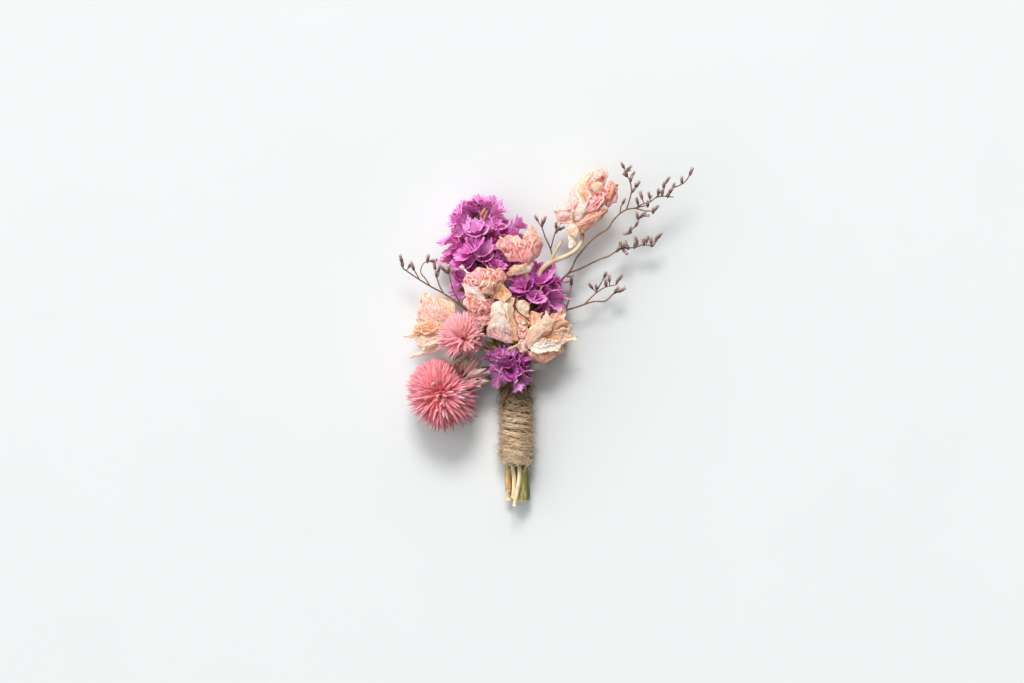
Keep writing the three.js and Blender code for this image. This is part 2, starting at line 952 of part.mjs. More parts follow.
const FLORETS = {
  // at the top right
  larkspur_top: {
    root: [22.8, 68.2, 12],
    seed: 11,
    petals: [
      [[13.4, 73, 12.6], 7.5, { lift: 2.4, cup: 1.4 }],
      [[18.8, 80.6, 13], 6, { lift: 1.6 }],
      [[22.8, 85.6, 12.5], 8, { lift: 2, cup: 1.6 }],
      [[28.4, 88, 12.5], 8.5, { lift: 1.5 }],
      [[34.2, 81.6, 11.6], 9, { lift: 2, cup: 1.4 }],
      [[31, 73.8, 10.6], 7, { lift: 1 }],
      [[26.4, 82.6, 17.4], 8, { lift: 1.6, cup: 1.6 }],
      [[19.6, 75.8, 17], 7, { lift: 1.6 }],
      [[18.2, 62.6, 11.4], 4, { lift: 0.8, cup: 0.6 }],
      [[24.6, 79.6, 7], 8, { lift: -1, cup: -1 }],
    ],
  },
  // over the middle of the statice
  larkspur_centre: {
    root: [3, 56.4, 15.4],
    seed: 31,
    petals: [
      [[-6.4, 63, 17.6], 8, { lift: 2 }],
      [[-1.4, 66, 18.4], 8, { lift: 1.4 }],
      [[5.4, 68.8, 17.4], 7, { lift: 1, cup: 1.2 }],
      [[9, 62.4, 16.4], 7, { lift: 1, cup: 1.2 }],
      [[2.4, 63.8, 21.6], 9, { lift: 1.4, cup: 1.4 }],
      [[-3.6, 52, 17.2], 5, { lift: 1.6, cup: 0.8 }],
    ],
  },
  // left of the middle
  larkspur_left_centre: {
    root: [-10.6, 45.4, 13.4],
    seed: 51,
    petals: [
      [[-18, 49.4, 14.6], 7.5, { lift: 1.6, cup: 1.2 }],
      [[-14.4, 54.4, 15.4], 8, { lift: 1.6 }],
      [[-8.2, 55.4, 16], 8, { lift: 1.4 }],
      [[-3.4, 50.8, 15.4], 7.5, { lift: 1.2 }],
      [[-3, 45.4, 18.2], 5.5, { lift: 1.2, cup: 0.6 }],
      [[-17.4, 42.4, 13.4], 7, { lift: 1.4 }],
      [[-10.6, 50, 20.6], 8.5, { lift: 1.2, cup: 1.4 }],
      [[-12.4, 38.4, 14.6], 7, { lift: 1.6 }],
    ],
  },
  // far left, behind the small amaranth
  larkspur_far_left: {
    root: [-22.8, 33.4, 7.4],
    seed: 71,
    petals: [
      [[-32, 45, 9.4], 9.5, { lift: 1.6, cup: 1.2 }],
      [[-25, 43.4, 8.6], 8.5, { lift: 1.4 }],
      [[-34, 38, 8.4], 9, { lift: 1.6, cup: 1.2 }],
      [[-34, 32, 9.6], 8, { lift: 2, cup: 1.2 }],
      [[-36.6, 23.8, 5.2], 4, { lift: 1.4, cup: 0.8 }],
      [[-31, 26.8, 7], 6.5, { lift: 1.6 }],
      [[-29, 38.6, 12.8], 7.5, { lift: 1.2, cup: 1.2 }],
      [[-30, 36, 2.6], 9, { lift: -1, cup: -0.8 }],
    ],
  },
  // pale petals right of the small amaranth
  larkspur_pale: {
    root: [-2.4, 32.6, 13],
    seed: 91,
    petals: [
      [[-4, 44.8, 16.6], 8.5, { lift: 2, cup: 1.2 }],
      [[-9, 39.8, 15.6], 7.5, { lift: 2.2 }],
      [[-9.8, 32.6, 14], 7, { lift: 2, cup: 0.8 }],
      [[-5.2, 29, 15], 5, { lift: 1.2, cup: 0.6 }],
    ],
  },
  // the wide one on the right
  larkspur_wide: {
    root: [4.6, 31.2, 11.6],
    seed: 111,
    petals: [
      [[1.6, 44.2, 15.4], 6.5, { lift: 2 }],
      [[-0.8, 34.4, 14.2], 5.6, { lift: 1.2 }],
      [[0.6, 27.4, 13.6], 5, { lift: 1 }],
      [[7.6, 40.8, 16.8], 7.5, { lift: 2 }],
      [[13.6, 40, 14], 8, { lift: 2, cup: 1.4 }],
      [[18.8, 36.6, 12.8], 7, { lift: 1.6 }],
      [[19.6, 31, 11], 6, { lift: 1.4, cup: 0.8 }],
      [[15.2, 27, 12.8], 8, { lift: 2.2, cup: 1.4 }],
      [[11.6, 22.6, 8.4], 8, { lift: 1.6 }],
      [[4.4, 24.6, 11.4], 7, { lift: 1.6 }],
      [[9.8, 34.6, 18.8], 8, { lift: 1.4, cup: 1.4 }],
      [[12.4, 31, 2.6], 8, { lift: -1, cup: -0.8 }],
    ],
  },
};

// Statice heads. A mouth is the middle of one funnel's rim.

const STATICE = {
  statice_main: {
    lines: [
      [
        [-8.8, 50.4, 7.4],
        [-10.6, 57, 8.4],
        [-12, 64, 8.8],
        [-12.4, 71, 8.4],
      ],
      [
        [-9.6, 53, 7.6],
        [-13.4, 51, 6.4],
        [-16, 47.4, 5.6],
      ],
    ],
    coreRadii: [2, 3.6, 3.8, 2],
    radius: 4,
    seed: 3,
    mouths: [
      [-21.8, 74, 10.6],
      [-16, 77.4, 11.6],
      [-10.4, 78.4, 11],
      [-4.8, 76, 11.4],
      [-20.2, 68.4, 13.6],
      [-13.4, 68.4, 17],
      [-8.4, 70.6, 15.6],
      [-3.6, 68.4, 14.6],
      [1.8, 68.4, 10.6],
      [-22.6, 63.6, 12],
      [-25.4, 59.4, 8.6],
      [-16.8, 62.6, 17],
      [-17.4, 57.2, 15.6],
      [-11.6, 61.4, 18],
      [-7.4, 57, 16.6],
      [-19.8, 52, 11.6],
      [-19.2, 46.6, 9.6],
      [-17, 73.4, 4.2],
      [-8.6, 74.4, 4.4],
      [-20.6, 66, 4.6],
      [-3.6, 66.6, 5],
      [-18.4, 57.6, 4],
      [-10.6, 56.6, 2],
    ],
  },
  statice_right: {
    lines: [
      [
        [7.4, 40.6, 6.6],
        [7.4, 46, 7.6],
        [7.2, 52.4, 7.8],
      ],
    ],
    coreRadii: [2, 3.4, 1.8],
    radius: 4,
    seed: 5,
    mouths: [
      [9.4, 57.2, 8],
      [13.6, 53.2, 8.6],
      [-2.2, 48.8, 11.6],
      [3, 51.6, 14.2],
      [2.4, 45.2, 13.4],
      [7.6, 48.4, 15.4],
      [11.6, 49.6, 13],
      [15.6, 48.2, 8.6],
      [13.8, 44, 9.4],
      [7, 40.6, 12],
      [9.4, 46.4, 2],
      [3, 50.6, 3],
      [12.2, 51, 3.4],
    ],
  },
  statice_low: {
    lines: [
      [
        [-1.6, 18.6, 11.2],
        [-2.4, 22, 11.6],
        [-3, 25.4, 11],
      ],
    ],
    coreRadii: [1.6, 2.4, 1.6],
    radius: 4,
    seed: 7,
    mouths: [
      [-9.4, 22.4, 12.8],
      [-8, 16.2, 12.2],
      [-3, 19.6, 16.6],
      [2.8, 15.4, 14],
      [4.8, 20.8, 13.6],
      [1.2, 26, 15],
      [-4.2, 25.6, 15.2],
      [-8, 28, 11.6],
    ],
  },
};

// Amaranth heads. Reach is the radius over the bracts' tips.

const AMARANTHS = {
  amaranth_big: {
    centre: [-25.4, 12, 11.6],
    crown: [-0.25, 0.35, 1],
    coreR: 7.8,
    reach: 12.8,
    bracts: 150,
    width: 2.1,
    seed: 21,
  },
  amaranth_small: {
    centre: [-18, 30.6, 16.2],
    crown: [-0.5, 0.7, 0.8],
    coreR: 5.4,
    reach: 9.1,
    bracts: 84,
    width: 1.9,
    seed: 22,
  },
  amaranth_third: {
    centre: [-14.8, 19.8, 7.2],
    crown: [-0.5, -0.6, 0.6],
    coreR: 3.5,
    reach: 6,
    bracts: 34,
    width: 1.9,
    seed: 23,
  },
};

// The small leaf between the amaranths
const LEAVES = {
  amaranth_leaf: {
    root: [-12.8, 26.9, 12],
    tip: [-21.2, 21.2, 13.6],
    width: 2.6,
    lift: 1,
    cup: 0.5,
    crinkle: 0.3,
    seed: 41,
  },
};

// Assembly: each look is its colour and its roughness

const looks = {
  amaranth: ["#d6646f", 0.8],
  larkspur: ["#e9b9a6", 0.85],
  statice: ["#a83aa0", 0.75],
  seaLavender: ["#6b5049", 0.85],
  greenStem: ["#8f8a4c", 0.8],
  tanStem: ["#cdb07c", 0.8],
  leaf: ["#8b9160", 0.85],
  twine: ["#b3916a", 0.95],
};

const materials = Object.fromEntries(
  Object.entries(looks).map(([name, [color, roughness]]) => [
    name,
    new THREE.MeshStandardMaterial({ color, roughness, metalness: 0 }),
  ]),
);

const boutonniere = new THREE.Group();
boutonniere.name = "boutonniere";

// The clearance bodies of everything that has been placed so far
const taken = [];

// Cuts a piece clear of all that is placed and of the table
function cutClear(solid) {
  const cut = taken.reduce((left, other) => left.subtract(other), solid);
  return mainBody(cut.trimByPlane([0, 0, 1], 0));
}

// Adds a piece, with its origin at a point of its own and with the space
// that the pieces after it keep clear of
function place(name, solid, clearance, at, material) {
  taken.push(clearance);
  const { numProp, vertProperties, triVerts } = trimmed(solid).getMesh();
  const geometry = new THREE.BufferGeometry();
  geometry.setAttribute(
    "position",
    new THREE.Float32BufferAttribute(vertProperties, numProp),
  );
  geometry.setIndex(new THREE.Uint32BufferAttribute(triVerts, 1));
  geometry.translate(-at[0], -at[1], -at[2]);
  geometry.computeVertexNormals();
  const mesh = new THREE.Mesh(geometry, materials[material]);
  mesh.name = name;
  mesh.position.set(...at);
  boutonniere.add(mesh);
}

// Besides the stems of the statice
const GREEN_STEMS = ["larkspur_right_stem", "larkspur_left_stem"];

for (const [name, main] of Object.entries(STEMS)) {
  const parts = [main, ...(SIDE_STALKS[name] ?? [])];
  const build = (grow) => joined(parts.map((part) => tube(part, grow)));
  const green = name.startsWith("statice") || GREEN_STEMS.includes(name);
  const material = green ? "greenStem" : "tanStem";
  place(name, build(0), build(GAP), main.points[0], material);
}

for (const [name, shape] of Object.entries(SPRAYS)) {
  const start = shape.twigs[0].points[0];
  place(name, spray(shape), spray(shape, GAP), start, "seaLavender");
}

const twine = binding().trimByPlane([0, 0, 1], 0);
place("twine_binding", twine, twine, [0, 0, AXIS_HEIGHT], "twine");

function placeAmaranth(name) {
  const shape = AMARANTHS[name];
  const room = shape.reach * AMARANTH_ROOM;
  const clearance = core(shape.centre, room, AMARANTH_CORE_SIDES);
  const head = cutClear(amaranthHead(shape));
  place(name, head, clearance, shape.centre, "amaranth");
}

function placeFloret(name) {
  const shape = FLORETS[name];
  const floret = cutClear(larkspurFloret(shape));
  place(name, floret, larkspurFloret(shape, GAP), shape.root, "larkspur");
}

function placeStatice(name) {
  const shape = STATICE[name];
  const head = cutClear(staticeHead(shape));
  place(name, head, staticeHead(shape, GAP), shape.lines[0][0], "statice");
}

function placeLeaf(name) {
  const shape = LEAVES[name];
  const leaf = cutClear(petal(shape));
  place(name, leaf, petal(shape, GAP), shape.root, "leaf");
}

// In the order of what lies over what
placeLeaf("amaranth_leaf");
placeAmaranth("amaranth_small");
placeAmaranth("amaranth_third");
placeFloret("larkspur_wide");
placeFloret("larkspur_pale");
placeStatice("statice_low");
placeFloret("larkspur_centre");
placeFloret("larkspur_left_centre");
placeFloret("larkspur_top");
placeAmaranth("amaranth_big");
placeStatice("statice_right");
placeStatice("statice_main");
placeFloret("larkspur_far_left");

export default boutonniere;
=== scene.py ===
# Looks of a boutonniere of dried flowers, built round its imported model.
#
# Lengths are in millimetres, and a piece turns into metres when it is made.
# Z is up, the bound handle runs along Y, and the table is at height 0.

import math

import bpy
import numpy as np
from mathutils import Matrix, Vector, noise


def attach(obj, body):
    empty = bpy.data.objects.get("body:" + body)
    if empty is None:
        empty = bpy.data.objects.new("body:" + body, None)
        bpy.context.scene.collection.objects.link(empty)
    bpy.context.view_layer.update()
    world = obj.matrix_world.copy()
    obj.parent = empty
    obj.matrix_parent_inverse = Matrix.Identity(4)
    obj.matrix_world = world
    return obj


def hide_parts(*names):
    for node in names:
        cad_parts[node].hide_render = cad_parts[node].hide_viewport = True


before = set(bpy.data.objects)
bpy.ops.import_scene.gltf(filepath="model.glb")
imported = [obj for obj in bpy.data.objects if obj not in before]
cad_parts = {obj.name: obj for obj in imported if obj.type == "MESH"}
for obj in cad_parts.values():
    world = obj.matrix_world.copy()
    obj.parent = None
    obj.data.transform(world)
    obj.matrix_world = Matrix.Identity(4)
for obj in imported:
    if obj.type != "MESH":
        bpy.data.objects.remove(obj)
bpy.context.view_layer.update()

MM = 0.001
LOWEST = 0.02  # of any point above the table
UP = np.array([0.0, 0.0, 1.0])


# Camera, at the photograph's angle: straight down


VIEW_CENTRE = (-1.36, 29.07)
VIEW_WIDTH = 348.2  # at the height of the flowers
FLOWER_HEIGHT = 10
CAMERA_HEIGHT = 700
SENSOR_WIDTH = 36

camera = bpy.data.objects.new("camera", bpy.data.cameras.new("camera"))
bpy.context.scene.collection.objects.link(camera)
camera.location = Vector((*VIEW_CENTRE, CAMERA_HEIGHT)) * MM
camera.data.sensor_width = SENSOR_WIDTH
camera.data.lens = SENSOR_WIDTH * (CAMERA_HEIGHT - FLOWER_HEIGHT) / VIEW_WIDTH
camera.data.clip_start = 0.01
camera.data.clip_end = 100
bpy.context.scene.camera = camera


# Vectors, smooth lines and noise


def unit(vectors):
    """A vector, or each vector of an array, at a length of 1."""
    vectors = np.asarray(vectors, float)
    return vectors / (np.linalg.norm(vectors, axis=-1, keepdims=True) + 1e-12)


def turned(count):
    """Angles all the way round."""
    return np.arange(count) * 2 * math.pi / count


def lengths_along(line):
    """How far along a line each of its points is."""
    return np.append(0, np.cumsum(np.linalg.norm(np.diff(line, axis=0), axis=1)))


def placed(origin, *steps):
    """Points from an origin: each step is a direction and how far to go in it."""
    return origin + sum(np.asarray(far)[..., None] * direction for direction, far in steps)


def across_of(axis, toward=UP):
    """The unit vector nearest to toward that is square to axis."""
    toward = np.asarray(toward, float)
    square = toward - axis * (toward @ axis)
    if np.linalg.norm(square) < 1e-3:
        square = np.array([0.0, 1.0, 0.0]) - axis * axis[1]
    return unit(square)


def curve_at(points, at):
    """Places on the smooth curve through points: the first is at 0, the next at 1."""
    points = np.asarray(points, float)
    before = 2 * points[0] - points[1]
    after = 2 * points[-1] - points[-2]
    padded = np.vstack([before, points, after])
    steps = np.sqrt(np.linalg.norm(np.diff(padded, axis=0), axis=1)) + 1e-6
    at = np.asarray(at, float)
    i = np.clip(at.astype(int), 0, len(points) - 2)
    w = (at - i)[:, None]
    a, b, c, d = padded[i], padded[i + 1], padded[i + 2], padded[i + 3]
    s, t, u = steps[i, None], steps[i + 1, None], steps[i + 2, None]
    leave = ((b - a) / s - (c - a) / (s + t) + (c - b) / t) * t
    reach = ((c - b) / t - (d - b) / (t + u) + (d - c) / u) * t
    return (
        (2 * w**3 - 3 * w**2 + 1) * b
        + (w**3 - 2 * w**2 + w) * leave
        + (3 * w**2 - 2 * w**3) * c
        + (w**3 - w**2) * reach
    )


def smooth_line(points, spacing):
    """Points about that far apart along the smooth curve through some points."""
    gaps = np.linalg.norm(np.diff(np.asarray(points, float), axis=0), axis=1)
    counts = [max(1, round(float(gap) / spacing)) for gap in gaps]
    at = [i + np.arange(count) / count for i, count in enumerate(counts)]
    return curve_at(points, np.append(np.concatenate(at), len(counts)))


def frames_along(line):
    """Unit vectors along and square to a line, without a twist."""
    ahead = unit(np.gradient(line, axis=0))
    side = across_of(ahead[0])
    sides = []
    for direction in ahead:
        side = unit(side - direction * (side @ direction))
        sides.append(side)
    sides = np.array(sides)
    return ahead, sides, np.cross(ahead, sides)


def rough(points, size, seed):
    """Smooth noise from about -1 to 1, with grains of that size."""
    shift = Vector((seed * 7.31, seed * 3.77, seed * 5.13))
    flat = np.reshape(points, (-1, 3))
    found = [noise.noise(Vector(p) / size + shift) for p in flat]
    return np.array(found).reshape(np.shape(points)[:-1]) * 1.6


def eased(low, high, value):
    t = np.clip((np.asarray(value, float) - low) / (high - low), 0, 1)
    return t * t * (3 - 2 * t)


# Shapes


class Shape:
    """Points, faces and values at the points, which become one piece."""

    def __init__(self):
        self.points = []
        self.faces = []
        self.values = []
        self.count = 0

    def add(self, points, faces, **values):
        points = np.reshape(points, (-1, 3))
        for group in faces:
            self.faces += (np.asarray(group) + self.count).tolist()
        self.points.append(points)
        ones = np.ones(len(points))
        self.values.append(
            {name: np.ravel(value) * ones for name, value in values.items()}
        )
        self.count += len(points)

    def make(self, name, material, slot, *nodes):
        points = np.concatenate(self.points)
        points[:, 2] = np.maximum(points[:, 2], LOWEST)
        mesh = bpy.data.meshes.new(name)
        mesh.from_pydata((points * MM).tolist(), [], self.faces)
        for value in sorted({v for values in self.values for v in values}):
            attribute = mesh.attributes.new(value, "FLOAT", "POINT")
            zeros = [np.zeros(len(p)) for p in self.points]
            found = [v.get(value, z) for v, z in zip(self.values, zeros)]
            attribute.data.foreach_set(
                "value", np.concatenate(found).astype(np.float32)
            )
        mesh.shade_smooth()
        mesh.materials.append(material)
        piece = bpy.data.objects.new(name, mesh)
        bpy.context.scene.collection.objects.link(piece)
        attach(piece, "root")
        if nodes:
            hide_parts(*nodes)


def grid_faces(rows, columns, wrapped=False, start=0, flipped=False):
    low = np.arange(rows - 1)[:, None] * columns
    left = np.arange(columns if wrapped else columns - 1)
    right = (left + 1) % columns
    a, b = low + left, low + right
    faces = np.stack([a, b, b + columns, a + columns], -1).reshape(-1, 4)
    return (faces[:, ::-1] if flipped else faces) + start


def rim_faces(ring, under, flipped=False):
    """Faces between an edge's points on one side of a sheet and the other."""
    faces = np.stack([ring[:-1], under + ring[:-1], under + ring[1:], ring[1:]], -1)
    return faces[:, ::-1] if flipped else faces


def sheet(shape, grid, thickness, wrapped=False, **values):
    """A thin closed sheet round a grid of points, wrapped to a tube or flat."""
    rows, columns = grid.shape[:2]
    wide = grid
    if wrapped:
        wide = np.concatenate([grid[:, -1:], grid, grid[:, :1]], axis=1)
    normals = unit(np.cross(np.gradient(wide, axis=1), np.gradient(wide, axis=0)))
    if wrapped:
        normals = normals[:, 1:-1]
    half = normals * thickness / 2
    points = np.concatenate([(grid + half).reshape(-1, 3), (grid - half).reshape(-1, 3)])
    under = rows * columns
    index = np.arange(under).reshape(rows, columns)
    faces = [
        grid_faces(rows, columns, wrapped),
        grid_faces(rows, columns, wrapped, under, flipped=True),
    ]
    if wrapped:
        first, last = np.append(index[0], 0), np.append(index[-1], index[-1, 0])
        faces += [rim_faces(first, under), rim_faces(last, under, flipped=True)]
    else:
        edge = [index[0], index[:, -1], index[-1, ::-1], index[::-1, 0]]
        faces += [rim_faces(side, under) for side in edge]
    both = {k: np.tile(np.ravel(v * np.ones((rows, columns))), 2) for k, v in values.items()}
    shape.add(points, faces, **both)


def tube(shape, line, radii, sides=8, ribs=0, depth=0, start=0, **values):
    """A closed tube along a line, ribbed lengthwise if asked."""
    line = np.asarray(line, float)
    _, side, other = frames_along(line)
    count = len(line)
    radius = np.interp(np.linspace(0, 1, count), np.linspace(0, 1, len(radii)), radii)
    turns = turned(sides)
    out = radius[:, None] * (1 + depth * np.cos(ribs * turns))
    steps = (side[:, None], out * np.cos(turns)), (other[:, None], out * np.sin(turns))
    rings = placed(line[:, None], *steps)
    points = np.concatenate([rings.reshape(-1, 3), line[:1], line[-1:]])
    first = np.arange(sides)
    last = first + (count - 1) * sides
    low, high = count * sides, count * sides + 1
    after = np.roll(first, -1)
    ends = [
        np.stack([np.full(sides, low), first, after], -1),
        np.stack([np.full(sides, high), last + after - first, last], -1),
    ]
    reach = lengths_along(line)
    along = np.append(np.repeat(reach, sides), [0, reach[-1]]) + start
    around = np.append(np.tile(turns / (2 * math.pi), count), [0, 0])
    cut = np.append(np.zeros(count * sides), [1, 1])
    faces = [grid_faces(count, sides, wrapped=True), *ends]
    shape.add(points, faces, along=along, around=around, cut=cut, **values)


# Materials


def colour(code):
    """A colour such as "d9677a" as the linear values that shaders use."""
    parts = [int(code[i : i + 2], 16) / 255 for i in (0, 2, 4)]
    linear = [p / 12.92 if p < 0.04045 else ((p + 0.055) / 1.055) ** 2.4 for p in parts]
    return (*linear, 1)


class Paint:
    """A procedural material: a first colour, coats over it and a bump.

    A share is a number, a socket, the name of a value at the points, or one of
    these with a low and a high end, for a soft step from 0 to 1 between them.
    """

    def __init__(self, name, roughness, first, specular=0.3, translucence=0.0):
        self.material = bpy.data.materials.new(name)
        self.material.use_nodes = True
        self.tree = self.material.node_tree
        self.shader = self.tree.nodes["Principled BSDF"]
        self.body = first
        self.shader.inputs["Roughness"].default_value = roughness
        self.shader.inputs["Specular IOR Level"].default_value = specular
        if translucence:
            self.shader.inputs["Subsurface Weight"].default_value = translucence
            self.shader.inputs["Subsurface Radius"].default_value = (1, 0.6, 0.5)
            self.shader.inputs["Subsurface Scale"].default_value = 0.4 * MM
        self.place = self.tree.nodes.new("ShaderNodeTexCoord").outputs["Object"]

    def fill(self, socket, value):
        if isinstance(value, bpy.types.NodeSocket):
            self.tree.links.new(value, socket)
        else:
            socket.default_value = value

    def node(self, kind, inputs, output=0, **settings):
        made = self.tree.nodes.new(kind)
        for name, value in settings.items():
            setattr(made, name, value)
        for key, value in inputs.items():
            self.fill(made.inputs[key], value)
        return made.outputs[output]

    def share(self, of):
        if isinstance(of, str):
            return self.node("ShaderNodeAttribute", {}, "Fac", attribute_name=of)
        if isinstance(of, tuple):
            inputs = {"Value": self.share(of[0]), "From Min": of[1], "From Max": of[2]}
            return self.node("ShaderNodeMapRange", inputs, interpolation_type="SMOOTHSTEP")
        return of

    def math(self, operation, a, b=0.0, clamped=False):
        settings = {"operation": operation, "use_clamp": clamped}
        return self.node("ShaderNodeMath", {0: self.share(a), 1: self.share(b)}, **settings)

    def mix(self, share, a, b):
        """a where share is 0 and b where it is 1; codes stand for colours."""
        a, b = (colour(c) if isinstance(c, str) else c for c in (a, b))
        return self.node("ShaderNodeMix", {0: self.share(share), 6: a, 7: b}, 2, data_type="RGBA")

    def coat(self, over, *shares):
        """Lays a colour on where all the shares are high."""
        product, *rest = shares
        for share in rest:
            product = self.math("MULTIPLY", product, share, clamped=True)
        self.body = self.mix(product, self.body, over)

    def noise(self, place, size, detail):
        inputs = {"Vector": place, "Scale": size, "Detail": detail}
        return self.node("ShaderNodeTexNoise", inputs)

    def grain(self, size, detail):
        """Noise from 0 to 1 with grains of that size in millimetres."""
        inputs = {0: self.place, 1: (1 / (size * MM),) * 3}
        place = self.node("ShaderNodeVectorMath", inputs, operation="MULTIPLY")
        return self.noise(place, 1.0, detail)

    def streaks(self, lines, size=1.0, detail=4.0, over="across", along=1.6, tone=40.0):
        """Noise drawn out along a blade or stem: fine across it and long along it."""
        scales = {over: lines, "along": along, "tone": tone}
        parts = [self.math("MULTIPLY", name, scale) for name, scale in scales.items()]
        place = self.node("ShaderNodeCombineXYZ", dict(enumerate(parts)))
        return self.noise(place, size, detail)

    def place_y(self):
        """The place along Y in millimetres."""
        found = self.node("ShaderNodeSeparateXYZ", {0: self.place}, "Y")
        return self.math("MULTIPLY", found, 1 / MM)

    def done(self, height=None, depth=0.0, strength=1.0):
        """The material, with a bump if it has one."""
        if height is not None:
            inputs = {"Height": height, "Distance": depth * MM, "Strength": strength}
            self.fill(self.shader.inputs["Normal"], self.node("ShaderNodeBump", inputs))
        self.fill(self.shader.inputs["Base Color"], self.body)
        return self.material


def amaranth_paint():
    paint = Paint("amaranth_bract", 0.6, "861a32", translucence=0.35)
    lines = paint.streaks(7.0)
    paint.coat("f07480", ("along", 0.0, 0.5))
    paint.coat("fbb2b6", (lines, 0.45, 0.75), 0.7)
    paint.coat("f89a8e", ("tone", 0.6, 1.0), 0.6)
    paint.coat("d64a62", (lines, 0.5, 0.3), 0.5)
    paint.coat("f0a2b4", "pale", 0.75)
    paint.coat("ffb2b2", "light", 0.7)
    paler = paint.math("ADD", paint.math("MULTIPLY", "pale", 0.8), 0.12)
    paint.coat("f9dce8", ("along", 0.6, 1.0), paler)
    # The third head's faded colour, also paled as painted light where the small head shades it
    paint.coat(paint.mix((lines, 0.4, 0.56), "f4a292", "fff4e6"), "dull")
    paint.coat("fbdcb8", "cream")
    paint.coat("5e4c36", "stub")
    return paint.done(lines, 0.25, 0.6)


def petal_paint():
    paint = Paint("larkspur_petal", 0.6, "ffeee0", translucence=0.45)
    patches = paint.grain(1.3, 4.0)
    lines = paint.streaks(11.0)
    rim = paint.share(("rim", 0.5, 0.95))
    paint.coat("ffcfa4", "peach")
    paint.coat("e0a066", ("peach", 1.0, 1.6))
    paint.coat("f2a070", "peach", (patches, 0.42, 0.62), 0.6)
    paint.coat("ff9ca6", "blush", (paint.grain(3.5, 2.0), 0.1, 0.45), 0.8)
    paint.coat("dd646c", (lines, 0.5, 0.36), paint.math("ADD", "blush", 0.2), 0.4)
    paint.coat("dc7c42", "hollow", (patches, 0.34, 0.56), "peach", 0.6)
    paint.coat("de4048", "hollow", (patches, 0.34, 0.56), "blush", 0.85)
    # Pale on the ridges: partly the petals' paler creases, partly painted highlight
    paint.coat("fff0e2", "ridge", (patches, 0.25, 0.55), 0.6)
    paint.coat("ffeedd", (lines, 0.54, 0.72), 0.3)
    paint.coat("fde5c4", rim, 0.6)
    paint.coat("d58f45", rim, "dry", (patches, 0.4, 0.58))
    paint.coat(paint.mix("shade", "f3d79c", "713526"), ("shade", 0.0, 0.1))
    return paint.done(lines, 0.25, 0.7)


def statice_paint():
    paint = Paint("statice_calyx", 0.6, "b01270", translucence=0.5)
    lines = paint.streaks(50.0, detail=2.0)
    paint.coat("ff7cd0", ("along", 0.08, 0.65))
    paint.coat("ff9cda", ("along", 0.6, 1.0), 0.85)
    paint.coat("ac2084", (lines, 0.46, 0.58), 0.75)
    paint.coat("ffb4e2", (lines, 0.42, 0.32), 0.6)
    paint.coat("e8a4e4", (paint.grain(2.0, 3.0), 0.52, 0.7), 0.5)
    paint.coat("8c2484", "violet", 0.75)
    paint.coat("f0aade", "pale", 0.7)
    paint.coat("5a3528", ("along", 0.2, 0.02), 0.8)
    paint.coat("dca666", "yellow")
    return paint.done(lines, 0.4, 0.8)


def bract_paint():
    paint = Paint("statice_bract", 0.75, "5d4a26")
    patches = paint.grain(1.2, 4.0)
    paint.coat("8c8a4c", (patches, 0.35, 0.65))
    paint.coat("8a5a3a", ("along", 0.6, 1.0))
    return paint.done(patches, 0.3, 0.5)


def lavender_paint():
    paint = Paint("sea_lavender_bud", 0.7, "5f423c")
    patches = paint.grain(0.7, 4.0)
    paint.coat("93706a", (patches, 0.35, 0.65))
    paint.coat("a5867e", ("along", 0.4, 0.8))
    paint.coat("dccac4", ("along", 0.78, 1.0), 0.8)
    return paint.done(patches, 0.1, 0.5)


def twig_paint():
    paint = Paint("sea_lavender_twig", 0.7, "4e352e")
    patches = paint.grain(1.4, 4.0)
    paint.coat("8a6650", (patches, 0.3, 0.7))
    paint.coat("a8845e", "tone", 0.6)
    return paint.done(patches, 0.1, 0.5)


def stem_paint(name, dark, light, patch, top=None):
    """A dried stem with streaks along it, painted shade just below the binding, a paler cut end and
    maybe a pale top.
    """
    paint = Paint(name, 0.68, dark)
    lines = paint.streaks(9.0, 1.3, over="around", along=0.22, tone=1.0)
    paint.coat(light, (lines, 0.35, 0.62))
    paint.coat(patch, (paint.grain(2.5, 3.0), 0.5, 0.7), 0.7)
    # Painted shade: a darker green band from Y -18.5 to -13.5, where the binding shades the stems
    paint.coat("5a5a2c", (paint.place_y(), -18.5, -13.5), 0.6)
    if top:
        paint.coat(paint.mix((lines, 0.35, 0.6), "cfae7c", top), ("along", 66.0, 76.0))
        paint.coat("a9805c", (paint.place_y(), 62.6, 64.2))
    paint.coat("efe2bd", "cut")
    return paint.done(lines, 0.15, 0.7)


def twine_paint():
    paint = Paint("jute", 0.85, "d8b184", specular=0.2)
    lines = paint.streaks(3.0, 1.6, 5.0, "around", 0.3, 30.0)
    paint.coat("ffe8c6", (lines, 0.3, 0.65))
    paint.coat("fbeeda", ("tone", 0.5, 1.0), 0.5)
    paint.coat("a07c5a", ("tone", 0.3, 0.0), 0.5)
    # Painted shade: the turns grow darker from Y 2 to 9, as under the overhanging low statice
    paint.coat("765639", (paint.place_y(), 2.0, 9.0), 0.9)
    return paint.done(lines, 0.3, 0.8)


def fibre_paint():
    paint = Paint("jute_fibre", 0.6, "bb9266")
    paint.coat("ffefd4", "tone")
    # Painted shade: the fibres grow darker from Y 2 to 9, like the turns under them
    paint.coat("8a6a4a", (paint.place_y(), 2.0, 9.0), 0.6)
    return paint.done()


def leaf_paint():
    paint = Paint("leaf", 0.75, "858a66", translucence=0.1)
    patches = paint.grain(1.0, 4.0)
    rib = paint.math("ABSOLUTE", "across")
    paint.coat("c0bfa0", (patches, 0.35, 0.65))
    paint.coat("ccc8a6", (rib, 0.12, 0.02))
    paint.coat("8a6a55", (rib, 0.8, 1.0), 0.6)
    return paint.done(patches, 0.3, 0.5)


